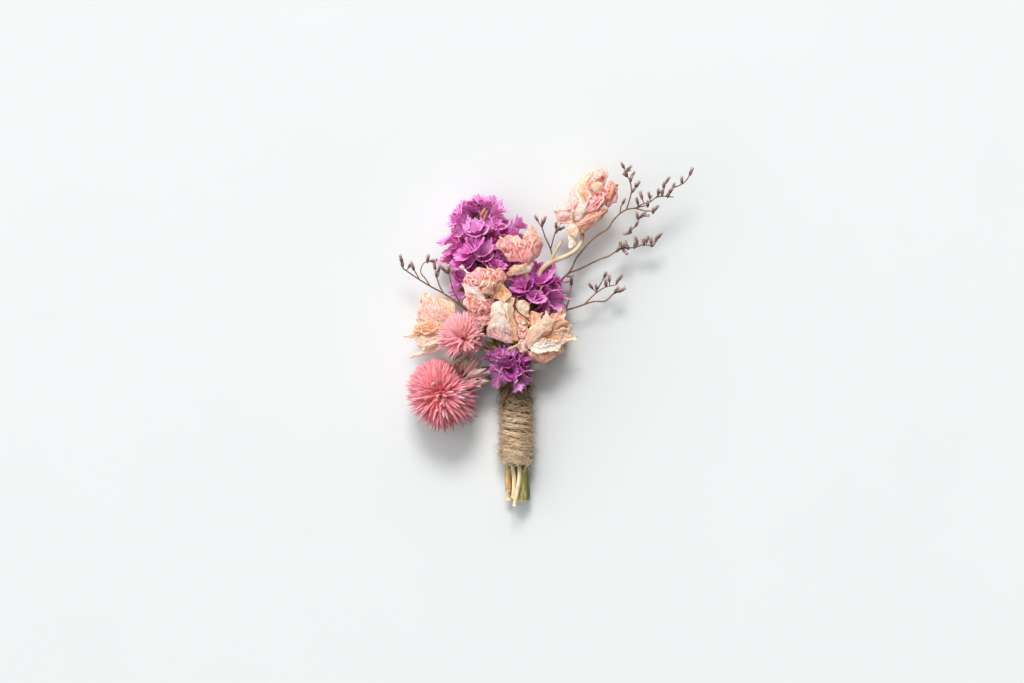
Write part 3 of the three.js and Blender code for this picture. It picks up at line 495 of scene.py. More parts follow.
AMARANTH = amaranth_paint()
LARKSPUR = petal_paint()
STATICE = statice_paint()
STATICE_BRACT = bract_paint()
LAVENDER = lavender_paint()
TWIG = twig_paint()
DRY_STEM = stem_paint("dry_stem", "d6b688", "fbeac6", "e8cc9c")
ORANGE_STEM = stem_paint("orange_stem", "b5854e", "dfba80", "8d7040")
GREEN_STEM = stem_paint("green_stem", "4c5630", "8c8c58", "6f6c40")
OLIVE_STEM = stem_paint("olive_stem", "7f7a38", "c2b878", "9a8c4c", "e6d5b2")
TWINE = twine_paint()
FIBRE = fibre_paint()
LEAF = leaf_paint()


# Globe amaranths: pointed, keeled bracts that open away from the crown


BRACT_ROWS = 8
BRACT_COLUMNS = 5
BRACT_T = 0.1
COVERED = 1.9  # of a head by its bracts, where 2 is all of it
EQUATOR = 1.7  # radians from the crown, where the lower bracts begin


def bract(shape, base, tip, width, facing, bend, keel, **values):
    """A pointed blade with a keel, arched along its length."""
    base, tip = np.asarray(base, float), np.asarray(tip, float)
    axis = unit(tip - base)
    length = np.linalg.norm(tip - base)
    up = across_of(axis, facing)
    side = np.cross(axis, up)
    u = np.linspace(0, 1, BRACT_ROWS)[:, None]
    v = np.linspace(-1, 1, BRACT_COLUMNS)[None]
    half = width / 2 * (0.6 + 1.5 * u * (1 - u)) * (1 - u**2.4) + 0.02
    rise = bend * length * np.sin(math.pi * u) + keel * width * (0.5 - np.abs(v)) * (1 - u**3)
    grid = placed(base, (axis, length * u + 0 * v), (side, half * v), (up, rise))
    sheet(shape, grid, BRACT_T, along=u + 0 * v, across=v + 0 * u, **values)


def amaranth(centre, crown, core, reaches, count, width, coarse, light, seed):
    """A head of bracts: dense up the picture, and apart down it."""
    random = np.random.default_rng(seed)
    centre, crown = np.asarray(centre, float), unit(crown)
    shape = Shape()
    golden = math.pi * (3 - math.sqrt(5))
    east = across_of(crown, (1, 0, 0))
    north = np.cross(crown, east)
    for i in range(count):
        tilt = math.acos(1 - (i + 0.5) / count * COVERED)
        turn = i * golden
        out = math.cos(turn) * east + math.sin(turn) * north
        smooth = float(eased(-0.1, 0.55, out[1] * math.sin(tilt) - 0.1 * out[0]))
        right = float(eased(0.0, 0.8, out[0] - out[1])) * (1 - smooth)
        loose = 1 - smooth
        if random.random() < (0.3 + 0.25 * coarse) * loose:
            continue
        root_tilt = tilt * (0.42 - 0.14 * loose) if tilt < EQUATOR else tilt - 0.93
        root = math.sin(root_tilt) * out + math.cos(root_tilt) * crown
        tilt = tilt + random.normal(0, 0.05 + 0.08 * loose)
        sway = np.cross(crown, out) * random.normal(0, 0.03 + 0.12 * loose)
        end = unit(math.sin(tilt) * out + math.cos(tilt) * crown + sway)
        heading = math.degrees(math.atan2(end[1], end[0]))
        level = math.hypot(end[0], end[1])
        wide_reach = np.interp(heading, *reaches[1:])
        far = reaches[0] + (wide_reach - reaches[0]) * level**3
        far = far * random.uniform(0.88, 1.03 + 0.05 * loose)
        base = centre + root * core * random.uniform(0.84, 1.0)
        wide = width * random.uniform(0.8, 1.15)
        wide = wide * (0.62 + 0.45 * smooth + 0.5 * right + coarse * loose)
        values = {
            "tone": random.random(),
            "pale": random.uniform(0, 1) ** 1.5 * (0.25 + 0.75 * loose),
            "light": light * (0.3 + 0.7 * smooth),
        }
        bend = random.uniform(0.02, 0.1) + 0.05 * smooth
        keel = 0.45 - 0.25 * smooth
        bract(shape, base, centre + end * far, wide, root, bend, keel, **values)
    core_ball(shape, centre, core * 0.9)
    return shape


def core_ball(shape, centre, radius):
    """The inside of a head, which shows between its bracts only."""
    rows, columns = 9, 14
    tilt = np.linspace(0.12, math.pi - 0.12, rows)[:, None]
    turn = turned(columns)[None]
    level = np.sin(tilt)
    ball = np.stack([level * np.cos(turn), level * np.sin(turn), np.cos(tilt) + 0 * turn], -1)
    faces = [
        grid_faces(rows, columns, wrapped=True),
        [np.arange(columns)[::-1].tolist()],
        [(np.arange(columns) + (rows - 1) * columns).tolist()],
    ]
    shape.add(np.asarray(centre) + ball * radius, faces)


# How far a head reaches upward, and in some headings, turned from +X to +Y
BIG_REACH = (
    12.6,
    [-180, -145, -103, -60, -38, -15, 4, 17, 26, 48, 62, 75, 100, 135, 180],
    [12.2, 12.2, 13.2, 14.2, 14.8, 12.8, 12.2, 12.0, 8.9, 8.4, 9.9, 11.4, 11.8, 12.2, 12.2],
)
SMALL_REACH = (
    9.0,
    [-180, -150, -130, -116, -102, -70, -45, 0, 45, 75, 100, 135, 180],
    [9.0, 9.2, 9.0, 8.6, 6.2, 5.8, 7.2, 7.8, 7.8, 8.8, 9.2, 8.8, 8.8],
)
# Centre, crown, core, reaches, bracts, their width, coarseness, lightness and seed
AMARANTHS = {
    "amaranth_big": ((-25.4, 12, 11.6), (0, -0.12, 1), 7.0, BIG_REACH, 760, 1.6, 0.28, 0, 21),
    "amaranth_small": (
        (-18, 30.6, 16.2), (0.1, -0.18, 1), 4.4, SMALL_REACH, 400, 1.5, 0.7, 1.0, 22
    ),
}
# Wide bracts that stand out of a head: base, tip and width
SINGLE_BRACTS = {
    "amaranth_big": [
        ((-20.5, 11.4, 15), (-11.4, 16.2, 11.6), 2.4), ((-20, 10.6, 15), (-12.6, 12.8, 10.6), 2.2),
        ((-21.6, 9, 18), (-13.4, 3.4, 12.4), 1.9), ((-22.4, 8.6, 19), (-15.6, 2, 14), 1.8),
        ((-23.4, 8.4, 19.6), (-18, 0.6, 14.6), 1.6), ((-21.4, 10, 17), (-12.2, 5.8, 9.6), 1.9),
    ],
    "amaranth_small": [
        ((-17.2, 31.6, 21), (-16.2, 39.4, 18), 2.4), ((-15.6, 31, 20), (-11.4, 36, 16.4), 2.3),
        ((-15, 29.8, 20), (-10.6, 31.6, 16), 2.6), ((-15.6, 28.4, 20), (-11.2, 27, 15.4), 2.2),
        ((-17.2, 28, 20), (-14.4, 24.6, 15.6), 2.0),
        ((-18.4, 28.2, 20), (-20.8, 23.6, 15), 2.0),
        ((-18.8, 28.8, 20.4), (-25, 26, 15.6), 1.6),
    ],
}
CREAM_FLORETS = {
    "amaranth_big": [(-27.6, 15.1, 23), (-26, 11, 23.6), (-26.4, 6, 22), (-24.8, 8.4, 23)],
    "amaranth_small": [
        (-16.4, 26.4, 20.6), (-13.3, 26, 19), (-14.9, 29.5, 23), (-12.7, 29.9, 21.6),
    ],
}
# How thick they are, as a radius
CREAM_R = {"amaranth_big": 0.38, "amaranth_small": 0.48}

for name, facts in AMARANTHS.items():
    shape = amaranth(*facts)
    for base, tip, width in SINGLE_BRACTS[name]:
        bract(shape, base, tip, width, (0, 0.3, 1), 0.1, 0.5, tone=0.3, pale=0.75)
    for x, y, z in CREAM_FLORETS[name]:
        line = [(x - 0.5, y - 0.4, z - 1.2), (x, y, z), (x + 0.4, y + 0.3, z + 0.3)]
        tube(shape, line, np.array([0.55, 1, 0.65]) * CREAM_R[name], 7, cream=0.9)
    shape.make(f"{name}_bracts", AMARANTH, "amaranth_bract", name)


# The third head lies on its side, half closed

THIRD_ROOT = np.array([-19.8, 15.2, 9.8])
THIRD_BRACTS = 84
random = np.random.default_rng(23)
third = Shape()
for _ in range(THIRD_BRACTS):
    heading = math.radians(random.uniform(-14, 104))
    climb = math.radians(random.uniform(-45, 16))
    flat = np.array([math.cos(heading), math.sin(heading), 0])
    toward = flat * math.cos(climb) + UP * math.sin(climb)
    start = THIRD_ROOT + toward * random.uniform(1.5, 5)
    end = THIRD_ROOT + toward * random.uniform(8, 11.6)
    # Its faded colour is paled further as painted light, against the small head's shade
    values = {"tone": random.random(), "pale": random.uniform(0, 0.9), "dull": 0.85}
    bract(third, start, end, random.uniform(2.0, 3.2), toward + UP, 0.12, 0.6, **values)
core_ball(third, THIRD_ROOT + [3.4, 3.4, -0.6], 2.8)
stub = [(-15, 17, 9), (-13, 16, 10.6), (-12.2, 14.8, 10.4), (-12.8, 14, 9.6)]
tube(third, smooth_line(stub, 0.5), [0.7, 0.6, 0.5], 8, stub=1.0)
third.make("amaranth_third_bracts", AMARANTH, "amaranth_bract", "amaranth_third")


# Petals: crumpled, veined sheets between two edges that run from root to tip

PETAL_STEP = 0.23
PETAL_ROWS = (12, 52)  # fewest and most
PETAL_COLUMNS = (8, 44)
PETAL_T = 0.12
FOLD_GAP = 2.0
CROSS_FOLD_GAP = 2.6
LARGE_FACET = (1.5, 2.8)  # across and along a petal
SMALL_FACET = (0.8, 1.4)
CREASE_BEND = 0.09


def folds(x, y, half, length, seed):
    """Sharp folds, most of them lengthwise."""
    random = np.random.default_rng(seed)
    height = 0 * x
    wide = half.max()
    lengthwise = max(3, round(2 * wide / FOLD_GAP))
    crosswise = round(length / CROSS_FOLD_GAP)
    for k in range(lengthwise + crosswise):
        if k < lengthwise:
            middle = 2 * (k + random.uniform(0.2, 0.8)) / lengthwise - 1
            away = x - middle * half
            start = random.uniform(-0.3, 0.5) * length
            stop = start + random.uniform(0.5, 1.2) * length
            there = eased(start, start + 2, y) * (1 - eased(stop - 2, stop, y))
        else:
            middle = random.uniform(0.1, 0.95) * length
            away = y - middle - random.normal(0, 0.6) * x
            start = random.uniform(-1.2, 0.4) * wide
            there = eased(start, start + 1, x) * (1 - eased(start + wide, start + wide + 1, x))
        tent = np.maximum(0, 1 - np.abs(away) / random.uniform(0.4, 0.9)) * there
        height = height + random.choice([-1, 1]) * random.uniform(0.15, 0.4) * tent
    return height


def facets(x, y, seed, wide, long):
    """Facets as on crumpled paper: 0 on a crease, and more inside a facet."""
    random = np.random.default_rng(seed)
    low = np.array([x.min(), y.min()]) - 1
    high = np.array([x.max(), y.max()]) + 1
    count = int(np.prod(high - low) / (wide * long)) + 3
    spots = random.uniform(low, high, (count, 2))
    across = (x[..., None] - spots[:, 0]) / wide
    along = (y[..., None] - spots[:, 1]) / long
    nearest = np.partition(np.hypot(across, along), 1, axis=-1)
    return nearest[..., 1] - nearest[..., 0]


def petal(
    shape, left, right, seed, arch=0.3, crumple=1.0, blush=0.5, peach=0.3, dry=0.5, scraps=1
):
    """A dried petal. Arch bulges it, blush reddens its hollows and peach warms it.

    Blush and peach are one value, or one for the root and one for the tip.
    """
    left, right = np.asarray(left, float), np.asarray(right, float)
    length = lengths_along((left + right) / 2)[-1]
    wide = np.linalg.norm(right - left, axis=1).max()
    rows = int(np.clip(length / PETAL_STEP, *PETAL_ROWS))
    columns = int(np.clip(wide / PETAL_STEP, *PETAL_COLUMNS))
    steps = np.linspace(0, len(left) - 1, rows)
    left, right = curve_at(left, steps), curve_at(right, steps)
    v = np.linspace(-1, 1, columns)[None]
    u = np.linspace(0, 1, rows)[:, None]
    blush, peach = (np.interp(u, (0, 1), np.resize(tint, 2)) for tint in (blush, peach))
    share = ((v + 1) / 2)[..., None]
    grid = left[:, None] * (1 - share) + right[:, None] * share
    span = np.linalg.norm(right - left, axis=1)[:, None]
    middle = (left + right) / 2
    ahead = unit(np.gradient(middle, axis=0))
    side = unit(right - left)
    up = unit(np.cross(side, ahead))
    up = up * np.sign(up[:, 2:3] + 1e-6)

    x, y = v * span / 2, lengths_along(middle)[:, None] + 0 * v
    flat = np.stack([x, y, 0 * x], -1)
    edge = np.abs(v) ** 5
    tip = eased(0.82, 1, u)
    border = np.stack([y, np.sign(v) * 5 + 0 * y, 0 * y], -1)
    frill = rough(border, 2.2, seed) + 0.4 * rough(border, 0.8, seed + 0.3)
    tip_frill = rough(np.stack([x, 0 * x + 3, 0 * x], -1), 2.0, seed)
    warp_x = x + 0.7 * rough(flat, 1.8, seed + 0.1)
    warp_y = y + 0.9 * rough(flat, 1.8, seed + 0.2)
    large = facets(warp_x, warp_y, seed, *LARGE_FACET)
    small = facets(warp_x, warp_y, seed + 500, *SMALL_FACET)
    fold = folds(warp_x, warp_y, span / 2, length, seed)
    fold = fold - 0.55 * np.minimum(large, 0.4) - 0.1 * np.minimum(small, 0.35)
    fold = fold + 0.3 * rough(flat, 2.8, seed + 0.5)
    bend = sum(np.gradient(np.gradient(fold, axis=k), axis=k) for k in (0, 1))
    bend = bend * (0.4 + 0.6 * crumple) / CREASE_BEND
    free = 0.45 + 0.55 * eased(0, 0.35, u)
    rise = arch * span / 2 * (1 - v**2) + crumple * free * fold
    rise = rise + crumple * 0.4 * rough(flat, 5.0, seed + 0.9)
    rise = rise + crumple * (0.6 * edge * frill + 0.7 * tip * tip_frill)
    sideways = np.sign(v) * edge * (0.45 * frill - 0.1) + 0.2 * crumple * fold
    forward = tip * (0.6 * tip_frill - 0.13 * span * v**2)

    steps = zip((up[:, None], side[:, None], ahead[:, None]), (rise, sideways, forward))
    grid = placed(grid, *steps)
    values = {
        "along": u + 0 * v,
        "across": x / 4,
        "hollow": np.maximum(np.clip(bend, 0, 1), 0.7 * eased(0.2, 0.45, large)),
        "ridge": np.clip(-bend, 0, 1),
        "rim": np.maximum(edge, tip * 0.9 + 0 * v),
        "tone": np.random.default_rng(seed).random(),
    }
    sheet(shape, grid, PETAL_T, blush=blush, peach=peach, dry=dry, **values)
    random = np.random.default_rng(seed + 70)
    for _ in range(scraps):
        row = int(rows * random.uniform(0.55, 0.97))
        column = random.choice([random.integers(1, 3), random.integers(columns - 3, columns - 1)])
        outward = side[row] * (1 if column > columns / 2 else -1)
        toward = ahead[row] * random.uniform(0.2, 1.1) + outward * random.uniform(-0.2, 0.9)
        toward = unit(toward + up[row] * random.uniform(0, 0.7))
        base = grid[row, column] - toward * 0.6
        reach_out = random.uniform(1.0, 2.2)
        wide_out = random.uniform(0.9, 1.6)
        values = {"blush": blush[row, 0] * 0.8, "peach": peach[row, 0], "dry": dry, "rim": 0.75}
        facing = up[row] + random.normal(0, 0.3, 3)
        bract(shape, base, base + toward * reach_out, wide_out, facing, 0.16, 0.4, **values)


def lobe(left, right, **own):
    """A petal's facts: the points of its edges, and what bends or tints it."""
    return left, right, own


# The lobes of each floret
FLORETS = {
    "larkspur_top": [
        lobe([(22, 70, 11), (19, 78, 9), (21, 84, 8)], [(24, 70, 11), (30, 76, 9), (31, 83, 8)],
            blush=0.1, crumple=0.5, scraps=0),
        lobe([(20.6, 71, 13.6), (17.6, 69, 12.8), (14, 68.8, 12)],
            [(20, 76.4, 14.6), (16.6, 76, 13.8), (12.8, 75.4, 12.6)], blush=0.6, peach=0.15,
            dry=0.7, crumple=0.8),
        lobe([(17, 73.4, 14.4), (17.2, 76.4, 14.8), (18.2, 79, 14.6), (19.2, 80.7, 14.4)],
            [(21, 74, 15.4), (20.8, 77, 15.8), (20.2, 79, 15.2), (19.7, 80.6, 14.6)], blush=0.5,
            peach=0.4, dry=1, crumple=0.7, scraps=0),
        lobe([(29, 76, 15), (30.4, 80.4, 15.8), (31.4, 83.6, 15)],
            [(31.4, 74, 13.4), (34.4, 78.4, 13.6), (34.2, 82, 13.2)], blush=0.9, peach=0.8, dry=1,
            scraps=0),
        lobe([(24.4, 76.6, 14.6), (21.2, 79, 15), (21, 82, 15.4), (23.4, 86, 15.4)],
            [(26.6, 77.6, 15.6), (24.4, 81, 16.6), (24.8, 83.6, 16.6), (26.8, 86.8, 16)], blush=0.1,
            peach=0.7, crumple=0.35, scraps=0),
        lobe([(24.8, 80.6, 16), (24.2, 83.8, 16.6), (25, 87, 15.8), (27.8, 88.4, 14.8)],
            [(29.6, 80.8, 16), (30.6, 83.4, 16.2), (30.8, 86, 15.4), (28.8, 88.5, 14.6)], blush=0.5,
            peach=0.3, dry=1, crumple=0.7, scraps=0),
        lobe([(22, 73, 15.2), (24, 77.4, 16.8), (25, 81, 16.6)],
            [(27.4, 73, 15.2), (30.8, 76.6, 16.2), (31, 81, 16.2)], blush=1.6, peach=0.1,
            crumple=1.3, scraps=0),
        lobe([(24.2, 82, 17.6), (26.6, 84.4, 18.4), (30.6, 85.4, 17.8)],
            [(25, 80.6, 17.4), (27.6, 83, 18.2), (30.2, 83.4, 17.6)], blush=1.6, peach=0.9,
            crumple=0.5, scraps=0),
        lobe([(26.6, 78.8, 17.6), (25.2, 80.4, 18), (25.4, 82, 18.2), (26.8, 83.1, 18)],
            [(28.4, 78.8, 17.6), (29.4, 80.4, 18), (29.2, 82, 18.2), (27.8, 83.1, 18)], blush=0,
            peach=0.9, crumple=0.4, arch=0.1, scraps=0),
        lobe([(30.6, 77, 16), (31.8, 80.4, 16.8), (33, 82.8, 16.4)],
            [(31.8, 77, 16.2), (33.3, 80, 16.6), (33.4, 82.5, 16.2)], blush=0.1, peach=1.4, dry=1,
            crumple=0.4, scraps=0),
        lobe([(18.6, 70, 14.8), (18.8, 73.4, 15.8), (20.4, 77.8, 15.8)],
            [(23, 70, 14.8), (23.8, 73.4, 16.2), (24, 77, 16)], blush=0.2, peach=0.15, crumple=0.7,
            scraps=0),
        lobe([(19, 72.4, 16), (19.6, 75, 16.6), (20.6, 77.9, 16.4)],
            [(19.9, 72.2, 16.2), (20.7, 74.8, 16.8), (21.2, 77.7, 16.6)], blush=1.8, peach=0,
            crumple=0.3, scraps=0),
        lobe([(22.7, 73.4, 16.8), (23.7, 75.8, 17.4), (24.8, 78.4, 17.4)],
            [(23.3, 73.2, 16.8), (24.3, 75.6, 17.4), (25.2, 78, 17.4)], blush=0.2, peach=0,
            crumple=0.3, scraps=0),
        lobe([(20, 70, 14.2), (23, 72.4, 15.4), (26.6, 73.6, 15.6), (30.9, 74.2, 14.4)],
            [(19.4, 67.2, 13), (22.6, 66, 12.8), (26.6, 68.6, 12.8), (31, 73, 13)], blush=0.4,
            peach=1, crumple=0.6, dry=1, scraps=0),
        lobe([(18, 70, 13.6), (17.4, 67, 13.2), (18, 64.6, 12.6)],
            [(21.8, 69.6, 13.8), (21.2, 66.8, 13.8), (20.6, 64.2, 12.8)], blush=0.05, peach=0.6,
            crumple=0.8, scraps=0),
        lobe([(18, 67, 12), (17.4, 63.4, 11.6), (18.2, 60.8, 11.2)],
            [(20.8, 66.8, 12.2), (20.9, 63.8, 12), (20, 61.2, 11.4)], blush=0, peach=0.1,
            crumple=0.5, scraps=0),
    ],
    "larkspur_centre": [
        lobe([(1, 57, 14.8), (-4, 60, 14.4), (-6.4, 62, 14.8)],
            [(3.4, 58, 15), (2, 63, 14.8), (0, 66, 15.4)], blush=1, peach=0.1),
        lobe([(3, 58, 14.8), (4, 63, 14.8), (5, 66, 15.6)],
            [(4, 56, 14.8), (8.6, 59, 14.8), (9.2, 63, 15.4)], blush=0.6, peach=0.3),
        lobe([(-2.2, 55.8, 16.2), (-4.4, 58.9, 17.6), (-6.8, 62.3, 18.2), (-4.9, 64.6, 18.4)],
            [(2.4, 55.6, 17), (3, 58.6, 19), (3.2, 61, 20), (1.6, 64.9, 19.4)], blush=(1.6, 0.7),
            peach=0.5, dry=0.3, crumple=0.7, arch=-0.15),
        lobe([(2.4, 55, 16.6), (2, 59.6, 19.2), (2.4, 64.2, 19.8), (4.6, 68.2, 18.8)],
            [(4.6, 54.6, 16), (7.4, 57.4, 17), (8.8, 62, 17), (6.4, 67.4, 17.6)], blush=(1.3, 0.4),
            peach=(0.3, 0.9), dry=1, arch=0.35, crumple=0.55),
        lobe([(5.2, 54.9, 16.6), (2, 55.2, 18), (-1, 54.4, 18.2), (-3.4, 52, 17)],
            [(4.8, 52, 16.2), (1.8, 51.6, 16.8), (-0.8, 51.2, 16.8), (-3.2, 50.8, 16.4)], blush=0,
            peach=(0.4, 1.4), crumple=0.5, arch=0.2, dry=0.9),
    ],
    "larkspur_left_centre": [
        lobe([(-15.4, 52, 17), (-17.4, 54, 16.4), (-18.2, 54.9, 16)],
            [(-16, 51.2, 17), (-18, 53.4, 16.4), (-18.3, 54.7, 16)], blush=0, peach=0.1,
            crumple=0.3),
        lobe([(-8.6, 47.4, 16.4), (-8.4, 51.2, 18.6), (-10.6, 54.8, 17.4)],
            [(-5.4, 46.8, 15.6), (-3.2, 49.4, 16), (-3.8, 53.2, 16.2)], blush=0.8, peach=1, dry=0.9,
            crumple=0.8),
        lobe([(-13.6, 46.4, 16), (-17.6, 48, 16.6), (-17.8, 50.2, 17), (-15.7, 52.8, 17)],
            [(-8.4, 47.2, 17.4), (-8, 49.6, 19.2), (-8.6, 52.2, 19.2), (-10.2, 55, 17.8)],
            blush=1.4, peach=(0.3, 0.9), dry=0.8, crumple=0.8, arch=0.15),
        lobe([(-17, 45.6, 15.6), (-17.6, 42.4, 15), (-15.4, 37.4, 13.8)],
            [(-12.2, 43.8, 16.4), (-12, 40.6, 16), (-12.2, 36.8, 14.6)], blush=0.8, peach=1.1,
            dry=0.6, crumple=0.8),
        lobe([(-12.4, 38.8, 14.4), (-13.2, 36.6, 14.4), (-12.6, 34.8, 14)],
            [(-8, 38.8, 14.4), (-8.6, 36.4, 14.2), (-9, 34.6, 13.8)], blush=1, peach=0.3),
        lobe([(-12.8, 43.6, 16.2), (-12.8, 40.8, 16), (-11.8, 38, 15)],
            [(-7, 43.4, 16), (-7, 40.8, 15.6), (-8.6, 37.8, 14.6)], blush=1.9, peach=0.3,
            crumple=0.8),
        lobe([(-17.8, 48.6, 17), (-17.6, 45.6, 16.8), (-14.8, 43.2, 16.6)],
            [(-12.6, 47.2, 19), (-11.2, 45, 19), (-9.6, 42.1, 17.6)], blush=0.25, peach=0.15,
            crumple=0.7, dry=1, arch=-0.2, scraps=0),
        lobe([(-12.4, 45.8, 17.8), (-12, 48.4, 19.6), (-10.4, 50.8, 20)],
            [(-7.6, 45.2, 17.8), (-6.4, 47.8, 19.4), (-6.6, 50.2, 19.4)], blush=0.5, peach=1,
            crumple=0.9),
        lobe([(-8.4, 43.6, 17.2), (-8.8, 46, 18.2), (-7.2, 47.9, 18.4)],
            [(-4, 42.4, 16.8), (-1.9, 44.8, 17.4), (-3.6, 47.8, 17.6)], blush=0, peach=1.3, dry=0.6,
            crumple=0.6, arch=-0.3, scraps=0),
    ],
    "larkspur_far_left": [
        lobe([(-24, 34, 6), (-31, 33.4, 3.6), (-34, 35, 3)],
            [(-23, 37, 6), (-28, 41, 3.6), (-31, 43, 3)]),
        lobe([(-24, 26.6, 7.4), (-31, 24.3, 6.6), (-37, 23.1, 5.8)],
            [(-23.6, 29.6, 7.8), (-31, 27, 7.4), (-36.6, 23.6, 6)], blush=0.12, peach=0.2,
            crumple=0.25, scraps=0),
        lobe([(-24, 35, 9.2), (-28, 39.8, 10.4), (-29.6, 44.6, 9.4)],
            [(-21.4, 35.4, 8.8), (-20.4, 39.4, 9), (-21.8, 44, 8.6)], blush=0.1, peach=(1, 0.4),
            crumple=0.4, arch=-0.1),
        lobe([(-25, 33, 8.8), (-33.4, 33.6, 8.8), (-33.8, 36.6, 8.8)],
            [(-24, 36, 9.2), (-30, 39.4, 9.6), (-33, 40.6, 9.2)], blush=0.6, peach=0.15,
            crumple=0.4, arch=0.1),
        lobe([(-25, 34.6, 9), (-32.8, 37.4, 10.2), (-32.8, 41.6, 10.2), (-32.2, 45.6, 9.6)],
            [(-22.4, 36, 9.6), (-24.6, 39.6, 11.4), (-26.4, 42.8, 11.4), (-29.4, 46.2, 10.2)],
            blush=0.4, peach=0.4, dry=0.7, crumple=0.5, arch=-0.1),
        lobe([(-24, 29.6, 8.8), (-30, 26.4, 8.6), (-34, 27.6, 8.4)],
            [(-25, 33, 9.4), (-31, 31.6, 9.6), (-34.8, 30.6, 9)], blush=0.05, peach=0.5, dry=0.5,
            crumple=0.8),
        lobe([(-31, 30, 9), (-34.8, 30.3, 8.8), (-37.9, 30.8, 8.6)],
            [(-31.6, 32.6, 9.6), (-35, 31.9, 9.2), (-38, 30.6, 8.6)], blush=0, peach=0.9,
            crumple=0.4, scraps=0),
        lobe([(-24, 32, 9.6), (-30.6, 30.8, 10.8), (-34.8, 31.6, 10.2)],
            [(-25, 35.8, 10.4), (-30.4, 36.6, 11.6), (-34.2, 35.2, 10.6)], blush=0.1, peach=1.3,
            dry=1, crumple=1.1),
    ],
    "larkspur_pale": [
        lobe([(-7.2, 37, 13.4), (-9.2, 34.8, 13.2), (-10.4, 33.8, 12.8)],
            [(-6.6, 39.8, 13.6), (-9, 38.2, 13.6), (-10.4, 36.2, 13)], blush=1, peach=0.2,
            scraps=0),
        lobe([(-6.8, 30, 13.6), (-9.9, 31, 13.8), (-9.8, 33.6, 14.6), (-8.7, 36, 15.2)],
            [(-0.6, 28.4, 13.6), (-1.2, 31, 15), (-1.8, 34, 16), (-2.6, 36.4, 16)],
            blush=(0.9, 0.3), peach=0.2, crumple=0.6, arch=0.2, scraps=0),
        lobe([(-9.4, 33.4, 14.4), (-8.8, 36.4, 15.4), (-8.3, 40.8, 16), (-5.4, 43.8, 15.6)],
            [(-1.8, 32, 15.6), (-2.3, 36.4, 16.8), (-2.8, 40.6, 17), (-3, 44, 16)],
            blush=(0.35, 0.02), peach=0.15, crumple=0.55, arch=0.15, scraps=0),
        lobe([(-1.4, 29.4, 14.8), (-2.4, 34.3, 16.2), (-3.6, 38.3, 17.4), (-5.4, 43.6, 16.8)],
            [(0.6, 29.2, 14), (0, 34.3, 15), (-0.7, 40, 15.6), (-0.2, 44.2, 15.4)], blush=0.05,
            peach=(1.2, 0.6), arch=-0.2, crumple=0.45, scraps=0),
    ],
    "larkspur_wide": [
        lobe([(8, 34, 9), (13, 37, 6.5), (17.5, 36, 4.6)],
            [(8, 28, 9), (13, 26, 6.4), (17.5, 28, 4.2)]),
        lobe([(2.6, 26, 12.6), (2.4, 24, 7), (3, 23, 2.6)],
            [(10, 25, 12.6), (10.6, 23, 7), (11, 22.4, 2.6)], blush=0.1, peach=0.8, crumple=0.5,
            arch=0.2, scraps=0),
        lobe([(9, 25.6, 12.6), (9.6, 24, 7), (10, 23, 2.6)],
            [(16, 28, 12), (17, 26.4, 7), (17.4, 25.6, 2.8)], blush=0.1, peach=0.8, crumple=0.5,
            arch=0.2, scraps=0),
        lobe([(4, 25.6, 15.2), (7.6, 26.6, 15.6), (11, 27, 15.6), (14.6, 26, 14.8)],
            [(5.2, 23, 13.6), (8, 21.7, 13.2), (11, 22, 13.2), (14, 24, 13.6)], blush=(0.6, 0.2),
            peach=(0.5, 1.5), dry=1, crumple=0.7),
        lobe([(12, 32.2, 15), (16, 33, 15.2), (20.4, 30.9, 13.6)],
            [(11.6, 28.2, 14.6), (15.4, 28.2, 14.2), (20, 30.3, 13.4)], blush=0.15,
            peach=(0.9, 0.4), dry=1, crumple=0.9, arch=-0.3),
        lobe([(11.6, 35, 15.6), (15, 36.6, 16), (19.6, 34.6, 14.4)],
            [(12, 31.2, 14.8), (15.2, 32, 15), (19.2, 34, 14.2)], blush=0.15, peach=(1.2, 0.6),
            dry=1, arch=-0.25),
        lobe([(9.6, 36.6, 14.6), (13.2, 38.8, 15.2), (17, 40, 14.8)],
            [(11.4, 33.4, 14.8), (14.8, 35, 15), (17.4, 39.4, 14.4)], blush=0.45, peach=0.6,
            dry=0.6, crumple=0.8, arch=-0.25),
        lobe([(0.6, 36, 13), (-0.2, 40.5, 14.4), (0, 43.8, 15)],
            [(5, 35.4, 13.2), (4.4, 39, 14.8), (5, 41.8, 15.2)], blush=0.03, peach=0.5, dry=0.5,
            crumple=0.7),
        lobe([(-1.5, 39, 13.4), (-0.8, 36, 13.6), (0.2, 32.4, 13.2)],
            [(0.6, 40, 14.2), (3.2, 37, 15.2), (5, 34, 14.8)], blush=0.3, peach=1.1, crumple=1.2),
        lobe([(1, 30.8, 12.8), (0.4, 28.6, 13.2), (0.8, 25.8, 13)],
            [(4.6, 30.6, 13.6), (4.4, 28, 14), (4.4, 25.2, 13.2)], blush=0.4, peach=0.6,
            crumple=1.2),
        lobe([(3, 34, 13), (3.4, 36.6, 13.6), (4.6, 39, 13.8)],
            [(8.6, 34, 13.6), (9, 37, 14), (8.6, 38.8, 13.8)], blush=0.3, peach=1, crumple=0.9),
        lobe([(0, 34, 13.4), (0.2, 31.6, 14.2), (0.8, 29.6, 14.2)],
            [(3.8, 34, 14.4), (4, 31.4, 15), (3.6, 29.4, 14.6)], blush=0.8, peach=0.8, crumple=1.4),
        lobe([(6.4, 29.4, 14.6), (9, 30.6, 15.2), (12.4, 33.2, 15.6)],
            [(8.2, 28.4, 14.4), (11.6, 28.8, 15), (15.4, 29.4, 15)], blush=0.15, peach=1.6,
            arch=-0.3),
        lobe([(6.2, 28.4, 16.6), (9.4, 30.2, 17.6), (12.4, 29.9, 17.2), (15.4, 28.8, 16)],
            [(4.6, 26, 15.8), (8, 25, 16.8), (11.4, 25.4, 16.6), (14.6, 25.8, 15.8)], blush=0.08,
